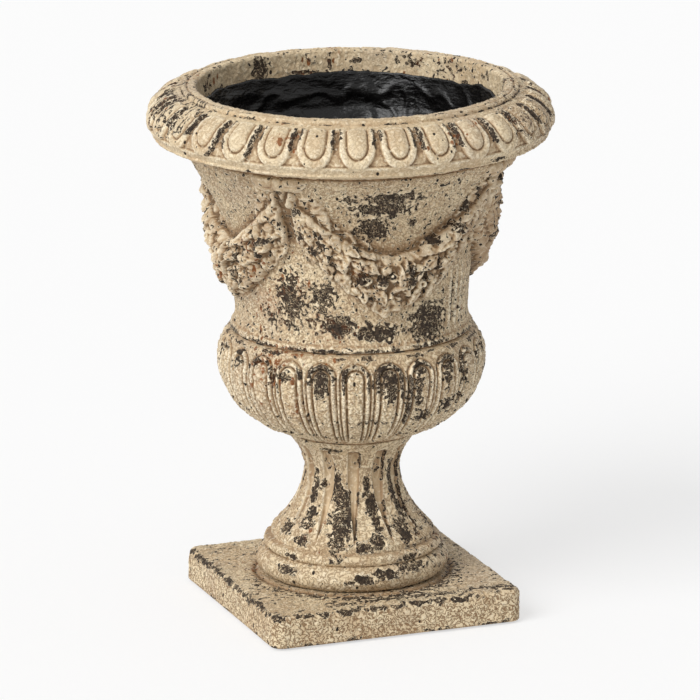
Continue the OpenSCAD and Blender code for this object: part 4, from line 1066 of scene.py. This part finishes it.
def swag_height(x, h):
    """Height of a swag above the neck."""
    t = np.abs(x / SWAG_REACH)
    top, low = swag_edges(np.clip(t, 0, 1))
    v = np.clip((top - h) / (top - low), 0, 1)
    end_round = dome(1 - np.clip((1 - t) * SWAG_REACH / 6.0, 0, 1))
    thick = SWAG_OUT + (SWAG_END_OUT - SWAG_OUT) * smooth(0.45, 1.0, t) - 5
    section = np.sin(math.pi * v**0.7) ** 0.55 * (0.3 + 0.7 * end_round)
    in_body = (h < top) & (h > low) & (t < 1)
    ground = np.where(in_body, thick * section, 0)
    leaves = [*LEAVES, *LEFT_LEAVES, *SHEAF]
    leaves += [((-base[0], base[1]), (-tip[0], tip[1]), width) for base, tip, width in LEAVES]
    on_ground = [leaf_relief(x, h, *leaf, 3.6 + 1.3 * (n * 7 % 3)) for n, leaf in enumerate(leaves)]
    on_ground += [ball_relief(x, h, *ball) for ball in (*FRUIT, *CAP_BALLS)]
    height = np.maximum(np.where(in_body, ground, SUNK), ground + most(*on_ground))
    for hole_x, hole_h in FRUIT_HOLES:
        height -= 3.0 * ridge(np.hypot(x - hole_x, h - hole_h), 1.3)
    scroll = 3.0 * ridge(np.hypot(x - 2, h - 46) - 6, 1.5) * (h > 44)
    scroll = np.where(scroll > 0.4, ground + 1.5 + scroll, OUTSIDE)
    height = most(height, scroll, 0.8 * ground + shell_relief(x, h))
    packed = 1.5 * (tufts(x, h, 7.5, 91) - 0.6) + 0.4 * (tufts(x, h, 4.0, 92) - 0.5)
    height += packed * smooth(0.5, 3.0, height)
    return np.where(np.abs(x) < SWAG_REACH - 1.2, height, SUNK)


def knot_height(x, h):
    """Height of a ribbon knot above the neck: two smooth lobes, a round middle and a pointed tail."""
    h = h - KNOT_H
    left = 6.4 * dome(np.hypot((x + 8.5) / 9.0, (h + 0.8 + 0.12 * x) / 6.6))
    right = 6.8 * dome(np.hypot((x - 8.0) / 8.6, (h - 0.6 - 0.10 * x) / 6.0))
    crease = 1.2 * ridge(h - 0.12 * x, 0.9) * between(np.abs(x), 2, 6, 13, 17)
    middle = 6.6 * dome(np.hypot(x / 5.0, h / 6.0))
    tail_half = 3.4 * np.clip((h + 13) / 9, 0, 1)
    tail = 4.0 * dome(x / np.maximum(tail_half, 0.05)) * (h < -2) * (h > -13)
    height = most(left - crease, right - crease, middle, tail)
    return np.where(height > 0.3, height, SUNK)


def relief_faces(cell, columns, size):
    """Faces of a relief's front, back and sides, over the cells that are kept. The points of the back
    follow those of the front."""
    i, j = np.nonzero(cell)
    a, b = i * columns + j, (i + 1) * columns + j
    faces = [np.stack([a, b, b + 1, a + 1], 1), size + np.stack([a, a + 1, b + 1, b], 1)]
    padded = np.pad(cell, 1)
    sides = ((-1, 0, 1, 0), (1, 0, columns, columns + 1), (0, -1, 0, columns), (0, 1, columns + 1, 1))
    for di, dj, start, end in sides:
        beyond = padded[1 + di : 1 + di + cell.shape[0], 1 + dj : 1 + dj + cell.shape[1]]
        ei, ej = np.nonzero(cell & ~beyond)
        at = ei * columns + ej
        faces.append(np.stack([at + start, at + end, size + at + end, size + at + start], 1))
    return np.concatenate(faces)


def build_relief(kind, side, turn, height_of, window, step, seed, material):
    """A closed piece from a height over the neck. Its back lies just inside the neck's surface."""
    reach, low, high = window
    heights = np.linspace(high, low, round((high - low) / step) + 1)
    h, x = np.meshgrid(heights, np.linspace(-reach, reach, round(2 * reach / step) + 1), indexing="ij")
    angle, surface_r = x / SWAG_R + math.radians(turn + SWAG_TURN), neck_r(h)

    def placed(out, drop=0.0):
        """The grid's points, moved out from the neck and down by the given lengths."""
        return around(surface_r + out, angle, NECK_Z + h - drop)

    place = placed(0.0)
    height = height_of(x + 1.2 * noise(place, 9, seed + 7), h + 1.2 * noise(place, 9, seed + 8))
    soft = blurred(height, 1, False)
    rough = 0.35 * noise(place, 5, seed) + 0.3 * noise(place, 2.2, seed + 1)
    rough += 0.3 * layered(place, 14, 2, seed + 2)
    height = np.where(height > 0, 0.7 * height + 0.3 * soft + rough, np.minimum(soft, height + 2))
    height = np.maximum(height, LOWEST)
    kept = height > LOWEST + 0.4
    cell = kept[:-1, :-1] | kept[1:, :-1] | kept[1:, 1:] | kept[:-1, 1:]
    tilt = np.gradient(surface_r[:, 0], heights)[:, None]
    lean = 1 / np.sqrt(1 + tilt**2)
    front, back = placed(height * (0.55 + 0.45 * lean), height * 0.25 * tilt * lean), placed(-BACK_DEPTH)

    look = {"vein": 0.3, "scale": 0.9, "wrap": False}
    fields = cast_fields(front, height, SWAG_PATCHES, seed + 3, (NECK_Z, NECK_TOP), **look)
    # painted shade in the garland's recesses
    broad = np.clip((blurred(height, 60, False) - height) / 2.0, 0, 1)
    tips = 0.7 * smooth(0.3, 0.9, fields["relief"]) * blots(front, 0.15, 0.6, 9, seed + 4)
    # dark chips in the deepest recesses, as painted shade
    deep_shade = 0.75 * smooth(0.45, 0.9, broad) * blots(front, 0.0, 0.5, 12, seed + 5)
    fields["wear"] = most(fields["wear"], tips, deep_shade, 0.1)
    # painted shade over the whole garland, darker towards the viewer's right
    mottled_shade = 0.4 + 0.3 * noise(front, 8, seed + 6) + 0.25 * smooth(62, 78, view_angle(front))
    fields["hollow"] = np.clip(1.8 * broad + 0.5 * fields["hollow"] + mottled_shade, 0, 1)

    flat = np.stack([(x + reach) / (2 * reach), (h - low) / (high - low)], -1).reshape(-1, 2)
    flat = RELIEF_MAP_EDGE + flat * (np.array([1, 0.5]) - 2 * RELIEF_MAP_EDGE)
    flat = np.concatenate([flat, flat + np.array([0, 0.5])])
    used, faces = np.unique(relief_faces(cell, h.shape[1], h.size), return_inverse=True)
    faces = faces.reshape(-1, 4)
    points = np.concatenate([front.reshape(-1, 3), back.reshape(-1, 3)])[used]
    fields = {key: np.tile(field.ravel(), 2)[used] for key, field in fields.items()}
    piece = make_mesh(f"{kind}_relief_{side}", points, faces, fields, flat[used][faces])
    finish_piece(piece, material, "cast", f"{kind}_{side}")


def build_swags(material):
    """The four swags and the four knots between them."""
    for n, (side, turn) in enumerate((("front", -90), ("right", 0), ("back", 90), ("left", 180))):
        build_relief("swag", side, turn, swag_height, SWAG_WINDOW, SWAG_STEP, 80 + 10 * n, material)
    corners = (("front_left", -135), ("front_right", -45), ("back_right", 45), ("back_left", 135))
    for n, (side, turn) in enumerate(corners):
        build_relief("knot", side, turn, knot_height, KNOT_WINDOW, KNOT_STEP, 120 + 10 * n, material)


# Materials


def linear(red, green, blue):
    """A colour given as it looks on screen, 0 to 255, in the renderer's own terms."""
    parts = [value / 255 for value in (red, green, blue)]
    return [p / 12.92 if p <= 0.04045 else ((p + 0.055) / 1.055) ** 2.4 for p in parts] + [1.0]


class Graph:
    """Short names for making and joining the nodes of a new material or world. A value is a number,
    a colour or another node's output."""

    def __init__(self, owner):
        owner.use_nodes = True
        self.owner = owner
        self.tree = owner.node_tree
        self.shader = self.tree.nodes.get("Principled BSDF")
        self.place = self.add("TexCoord").outputs["Object"]

    def put(self, socket, value):
        """Joins a value to an input."""
        if isinstance(value, bpy.types.NodeSocket):
            self.tree.links.new(value, socket)
        else:
            socket.default_value = value

    def fill(self, node, inputs):
        """Joins values to inputs of a node by their names, with _ for a space."""
        for name, value in inputs.items():
            self.put(node.inputs[name.replace("_", " ")], value)

    def add(self, kind, settings=None, **inputs):
        """A new node with its settings and inputs."""
        node = self.tree.nodes.new("ShaderNode" + kind)
        for name, setting in (settings or {}).items():
            setattr(node, name, setting)
        self.fill(node, inputs)
        return node

    def math(self, operation, first, second=0.0):
        node = self.add("Math", {"operation": operation})
        self.put(node.inputs[0], first)
        self.put(node.inputs[1], second)
        return node.outputs[0]

    def total(self, *terms):
        return functools.reduce(lambda one, other: self.math("ADD", one, other), terms)

    def times(self, *factors):
        return functools.reduce(lambda one, other: self.math("MULTIPLY", one, other), factors)

    def most(self, *values):
        return functools.reduce(lambda one, other: self.math("MAXIMUM", one, other), values)

    def less(self, first, second):
        return self.math("SUBTRACT", first, second)

    def from_middle(self, value):
        """How far a value from 0 to 1 is from its middle."""
        return self.math("ABSOLUTE", self.less(value, 0.5))

    def step(self, value, low, high, start=0.0, end=1.0):
        """A smooth step from start at low to end at high."""
        span = {"From_Min": low, "From_Max": high, "To_Min": start, "To_Max": end}
        node = self.add("MapRange", {"interpolation_type": "SMOOTHSTEP"}, Value=value, **span)
        return node.outputs["Result"]

    def squeezed(self, share):
        """The place on the piece, with heights times the share."""
        return self.add("Mapping", Vector=self.place, Scale=(1.0, 1.0, share)).outputs["Vector"]

    def noise(self, size, detail=2.0, rough=0.5, bend=0.0, place=None):
        """Noise from 0 to 1 with bumps of about the given size in millimetres."""
        look = {"Detail": detail, "Roughness": rough, "Distortion": bend}
        return self.add("TexNoise", Vector=place or self.place, Scale=1 / (size * MM), **look).outputs["Fac"]

    def cells(self, size, place=None):
        """Distance in cells from the nearest middle, and a number from 0 to 1 for each cell."""
        found = self.add("TexVoronoi", Vector=place or self.place, Scale=1 / (size * MM)).outputs
        return found["Distance"], self.add("SeparateColor", Color=found["Color"]).outputs[0]

    def field(self, name):
        """A field of the mesh."""
        return self.add("Attribute", {"attribute_name": name}).outputs["Fac"]

    def mix(self, share, first, second):
        """The first colour where the share is 0, and the second where it is 1."""
        node = self.add("Mix", {"data_type": "RGBA"}, Factor=share, A=first, B=second)
        return [socket for socket in node.outputs if socket.type == "RGBA"][0]

    def coat(self, colour, over, value, low, high, share=1.0):
        """The colour, with another over it by the share where the value goes from low to high."""
        return self.mix(self.step(value, low, high, 0.0, share), colour, over)

    def bump(self, height, distance, strength, under=None):
        """A normal from a height, over another normal if there is one."""
        more = {} if under is None else {"Normal": under}
        node = self.add("Bump", Height=height, Distance=distance * MM, Strength=strength, **more)
        return node.outputs["Normal"]

    def seen(self):
        """1 for the rays that show the background: the camera's, and those off metal or through glass."""
        ray = self.add("LightPath").outputs
        return self.most(*(ray[f"Is {kind} Ray"] for kind in ("Camera", "Glossy", "Transmission")))

    def finish(self, colour, roughness, normal, **numbers):
        """Joins the shader's inputs and returns the material."""
        self.fill(self.shader, {"Base_Color": colour, "Roughness": roughness, "Normal": normal, **numbers})
        return self.owner


def new_graph(name):
    """The nodes of a new material."""
    return Graph(bpy.data.materials.new(name))


# Colours. The lightest cream is painted highlight; tan and dark brown are painted shade, and the mortar's
# own.
CREAM = linear(220, 201, 167)
LIGHT = linear(242, 229, 202)
SAND = linear(202, 178, 143)
TAN = linear(157, 127, 94)
LINE = linear(124, 94, 63)
DIRT_AND_SHADE = linear(104, 80, 54)
GREY = linear(186, 168, 147)
SHARD = linear(42, 33, 25)
SHARD_LIGHT = linear(72, 58, 44)
RUST = linear(152, 84, 22)
DEEP_RUST = linear(84, 46, 18)
THREAD_PITCH = 1.25
WAVES_PER_UNIT = 20 / (2 * math.pi)


def paint_colour(g, blotch, line):
    """Cream paint, with painted shade in the hollows, darker along the fine lines, and painted highlight on
    the ridges.
    """
    relief = g.field("relief")
    # painted shade: darker in the hollows and below the surroundings, with some random blotches
    deep_shade = g.most(g.times(relief, -1.0), 0.0)
    sunk = g.total(g.times(g.field("hollow"), 0.9), g.times(deep_shade, 0.6), g.times(g.less(blotch, 0.5), 0.5))
    colour = g.coat(SAND, CREAM, g.times(g.total(g.noise(38), blotch), 0.5), 0.36, 0.6)
    colour = g.coat(colour, GREY, g.noise(60), 0.54, 0.72, 0.4)
    # painted highlight on raised parts
    colour = g.coat(colour, LIGHT, relief, 0.08, 0.7, 0.8)
    colour = g.mix(g.times(line, 0.95), colour, LINE)
    # painted shade, first tan and then dark brown
    colour = g.coat(colour, TAN, sunk, 0.12, 0.7, 0.85)
    return g.coat(colour, DIRT_AND_SHADE, sunk, 0.62, 1.1, 0.8)


def dotted(g, size, chance, radius, soft, squeeze=0.65):
    """Upright specks: cells of the given size, of which a share holds one."""
    distance, pick = g.cells(size, g.squeezed(squeeze))
    return g.step(g.less(g.step(pick, chance, 1.0, 0.0, radius), distance), -soft, soft)


def paint_material():
    """Cream paint over a dark cast: lacy worn patches, fine crackle, specks and rust, with painted highlights
    and painted shade.
    """
    g = new_graph("distressed_paint")
    wear, rust = g.field("wear"), g.field("rust")
    blotch, grain = g.noise(12, 3, 0.6, 0.4), g.noise(0.9, 2, 0.6)
    veins = g.noise(3.0, 1.5, 0.5, 0.7)
    line = g.times(g.step(g.from_middle(veins), 0.085, 0.015), g.field("vein"))
    colour = g.coat(paint_colour(g, blotch, line), SAND, grain, 0.62, 0.75, 0.3)

    flecks = g.times(g.noise(3.4, 2, 0.6, 0.8), 0.75)
    rusty = g.step(g.total(flecks, g.times(rust, 0.3)), 0.745, 0.765)
    specks = g.times(dotted(g, 4.8, 0.3, 0.34, 0.03, 0.45), g.step(rust, 0.04, 0.2))
    halo = g.step(g.total(flecks, g.times(rust, 0.28)), 0.56, 0.72)
    colour = g.mix(g.times(halo, g.step(rust, 0.1, 0.9, 0.0, 0.12)), colour, RUST)
    colour = g.mix(g.times(g.most(rusty, specks), 0.9), colour, g.mix(g.noise(4), DEEP_RUST, RUST))

    lace = g.step(g.noise(3.0, 0.9, 0.4, 0.2), 0.3, 0.7, 0.0, 0.94)
    amount = g.total(lace, wear, g.times(g.less(blotch, 0.5), 0.25))
    inner = g.step(g.from_middle(g.noise(2.6, 1, 0.5, 0.8)), 0.05, 0.02)
    inner = g.times(inner, g.step(g.noise(9), 0.35, 0.5))
    threads = g.times(inner, g.step(amount, 2.1, 1.7), g.step(amount, 1.05, 1.12))
    chips = g.most(g.less(g.step(amount, 1.0, 1.04), threads), 0.0)
    # painted highlight along the raised paint edge round the chips
    edge = g.times(g.step(amount, 0.84, 0.97), g.step(amount, 1.06, 1.0, 0.0, 0.4))
    colour = g.mix(edge, colour, LIGHT)
    dots = g.most(dotted(g, 5.5, 0.7, 0.22, 0.012), g.times(dotted(g, 2.8, 0.93, 0.22, 0.02), 0.8))
    dark = g.most(chips, dots)
    pale = g.times(g.step(g.noise(2.2, 2, 0.6), 0.35, 0.7), g.step(amount, 1.08, 1.3))
    patchy = g.most(g.step(g.noise(6, 2, 0.5), 0.52, 0.66), dots)
    red = g.times(g.step(rust, 0.15, 0.7, 0.0, 0.7), patchy)
    shard = g.mix(red, g.mix(pale, SHARD, SHARD_LIGHT), DEEP_RUST)
    normal = g.bump(g.total(veins, g.times(grain, 0.25)), 0.8, 0.8)
    for sunk, depth in ((line, 0.4), (dark, 0.35)):
        normal = g.bump(g.times(sunk, -1.0), depth, 0.9, normal)
    colour, roughness = g.mix(dark, colour, shard), g.step(dark, 0.0, 1.0, 0.55, 0.7)
    return g.finish(colour, roughness, normal, Specular_IOR_Level=0.28)


def joint_material():
    """Mortar smeared between two sections, with paint and dirt on it."""
    g = new_graph("painted_mortar")
    sand, blotch = g.noise(1.4, 3, 0.7), g.noise(5, 3, 0.6, 0.5)
    wear_and_shade = g.total(g.times(g.field("wear"), 0.5), g.times(blotch, 0.8))
    colour = g.coat(g.coat(DIRT_AND_SHADE, TAN, blotch, 0.35, 0.65), SHARD, wear_and_shade, 0.62, 0.72)
    return g.finish(colour, 0.85, g.bump(sand, 0.4, 0.8))


def lining_material():
    """Glossy black brushed coating with fine wrinkles, and painted highlight on the tops of its folds."""
    g = new_graph("black_lining")
    fold, fine = g.noise(9, 3, 0.55, 1.2, g.squeezed(2.6)), g.noise(2.4, 3, 0.6, 0.8)
    colour = g.coat(linear(7, 6, 6), linear(15, 14, 14), fine, 0.35, 0.75)
    # painted highlight, lighter grey on the tops of the folds
    colour = g.coat(colour, linear(30, 29, 28), g.field("relief"), 0.3, 0.9, 0.3)
    normal = g.bump(fine, 0.35, 0.5, g.bump(fold, 1.6, 0.5))
    return g.finish(colour, g.step(fine, 0.3, 0.8, 0.2, 0.34), normal, Specular_IOR_Level=0.3)


def mortar_material():
    """Dark sandy mortar."""
    g = new_graph("mortar")
    sand = g.noise(1.2, 4, 0.7)
    colour = g.coat(linear(58, 50, 42), linear(120, 105, 84), sand, 0.35, 0.7)
    return g.finish(colour, g.step(sand, 0.3, 0.7, 0.8, 0.95), g.bump(sand, 0.4, 0.8))


def steel_material():
    """Zinc plated steel with faint crystals."""
    g = new_graph("zinc_steel")
    colour = g.mix(g.cells(3.0)[1], linear(176, 178, 180), linear(205, 205, 202))
    roughness = g.step(g.noise(1.5, 3), 0.3, 0.7, 0.28, 0.45)
    return g.finish(colour, roughness, g.bump(g.noise(0.8, 2), 0.05, 0.5), Metallic=1.0)


def thread_material():
    """The same steel with a screw thread, as bumps and as painted shade in its grooves."""
    g = new_graph("threaded_steel")
    scale = 1 / (THREAD_PITCH * MM) / WAVES_PER_UNIT
    wave = g.add("TexWave", {"bands_direction": "Z"}, Vector=g.place, Scale=scale).outputs["Fac"]
    # painted shade in the thread's grooves
    colour = g.mix(wave, linear(120, 120, 120), linear(198, 198, 196))
    roughness = g.step(g.noise(2, 2), 0.3, 0.7, 0.3, 0.45)
    return g.finish(colour, roughness, g.bump(wave, 0.6, 0.9), Metallic=1.0)


def rubber_material():
    """Black rubber, dusty and slightly pitted."""
    g = new_graph("black_rubber")
    dust = g.noise(2.0, 4, 0.65)
    colour = g.coat(linear(24, 24, 24), linear(58, 56, 54), dust, 0.4, 0.8)
    return g.finish(colour, g.step(dust, 0.3, 0.7, 0.6, 0.85), g.bump(g.noise(0.7, 2), 0.08, 0.5))


def felt_material():
    """Grey pressed felt."""
    g = new_graph("grey_felt")
    fibre = g.noise(0.8, 5, 0.7, 2.0)
    colour = g.coat(linear(62, 58, 54), linear(104, 98, 92), fibre, 0.35, 0.7)
    return g.finish(colour, 0.95, g.bump(fibre, 0.3, 0.8), Sheen_Weight=0.3)


def dress_nodes():
    """Finishes for the CAD nodes that stay."""
    finishes = (
        (mortar_material(), ("plinth_bed", "floor_plug")),
        (steel_material(), ("top_washer", "top_nut", "bottom_washer", "bottom_nut")),
        (rubber_material(), ("seal_washer",)),
        (felt_material(), ("base_pads",)),
        (thread_material(), ("tie_rod",)),
    )
    for material, nodes in finishes:
        for node in nodes:
            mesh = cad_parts[node].data
            mesh.materials.clear()
            mesh.materials.append(material)


# Stage

FLOOR_REACH = 6.0
GLOW = 0.6
AIM = Vector((0, 0, 0.2))
LAMP_DISTANCE = 3.0
CAMERA_DISTANCE = 4.6
LENS_PER_WIDTH = 6385 / 700
SENSOR_WIDTH = 36.0
CAMERA_SHIFT = (-0.002, -0.0076)


def build_stage():
    """Pale floor that is white to the camera and keeps the urn's shadow."""
    corners = [(x * FLOOR_REACH, y * FLOOR_REACH, 0) for x, y in ((-1, -1), (1, -1), (1, 1), (-1, 1))]
    mesh = bpy.data.meshes.new("studio_floor")
    mesh.from_pydata(corners, [], [(0, 1, 2, 3)])
    floor = add_object("studio_floor", mesh)
    g = new_graph("studio_white")
    g.fill(g.shader, {"Base_Color": linear(246, 246, 246), "Roughness": 0.9})
    mixed = g.add("MixShader", Fac=g.times(g.seen(), GLOW))
    g.put(mixed.inputs[1], g.shader.outputs[0])
    g.put(mixed.inputs[2], g.add("Emission", Strength=1.0).outputs[0])
    g.put(g.tree.nodes["Material Output"].inputs["Surface"], mixed.outputs[0])
    mesh.materials.append(g.owner)


def direction(turn, rise):
    """Direction from the urn, 1 long on the level, by its turn and rise in degrees."""
    a, e = math.radians(turn), math.radians(rise)
    return Vector((math.sin(a), -math.cos(a), math.tan(e)))


def aimed(name, data, away):
    """A lamp or camera that looks back along the way it was moved from its aim."""
    obj = add_object(name, data)
    obj.location = AIM + away
    obj.rotation_mode = "QUATERNION"
    obj.rotation_quaternion = (-away).to_track_quat("-Z", "Y")
    return obj


def build_lights():
    """One broad sun from the upper left, and a plain world that is white to the camera."""
    light = bpy.data.lights.new("window_light", "SUN")
    light.energy = SUN_STRENGTH
    light.angle = math.radians(SUN_WIDTH)
    aimed("window_light", light, direction(CAMERA_TURN + SUN_TURN, SUN_RISE) * LAMP_DISTANCE)
    world = bpy.data.worlds.new("studio_world")
    bpy.context.scene.world = world
    g = Graph(world)
    strength = g.total(WORLD_STRENGTH, g.times(g.seen(), 1 - WORLD_STRENGTH))
    g.fill(g.tree.nodes["Background"], {"Color": (1, 1, 1, 1), "Strength": strength})


def build_camera():
    """A long lens at the photograph's place."""
    data = bpy.data.cameras.new("camera")
    data.sensor_width = SENSOR_WIDTH
    data.lens = LENS_PER_WIDTH * SENSOR_WIDTH
    data.shift_x, data.shift_y = CAMERA_SHIFT
    data.clip_start, data.clip_end = 0.1, 50
    camera = aimed("camera", data, direction(CAMERA_TURN, CAMERA_RISE) * CAMERA_DISTANCE)
    roll = Quaternion((0, 0, 1), math.radians(CAMERA_ROLL))
    camera.rotation_quaternion = camera.rotation_quaternion @ roll
    bpy.context.scene.camera = camera


def main():
    """Dresses the frame's nodes and builds the scene round them."""
    build_camera()
    paint, joint = paint_material(), joint_material()
    for build in (build_plinth, build_pedestal, build_bowl, build_neck, build_rim):
        build(paint)
    for node, out_r, wear_and_shade, seed in JOINTS:
        build_joint(node, joint, out_r, wear_and_shade, seed)
    build_swags(paint)
    build_liner(lining_material())
    dress_nodes()
    build_stage()
    build_lights()
    bpy.context.scene.view_settings.view_transform = "Standard"


main()
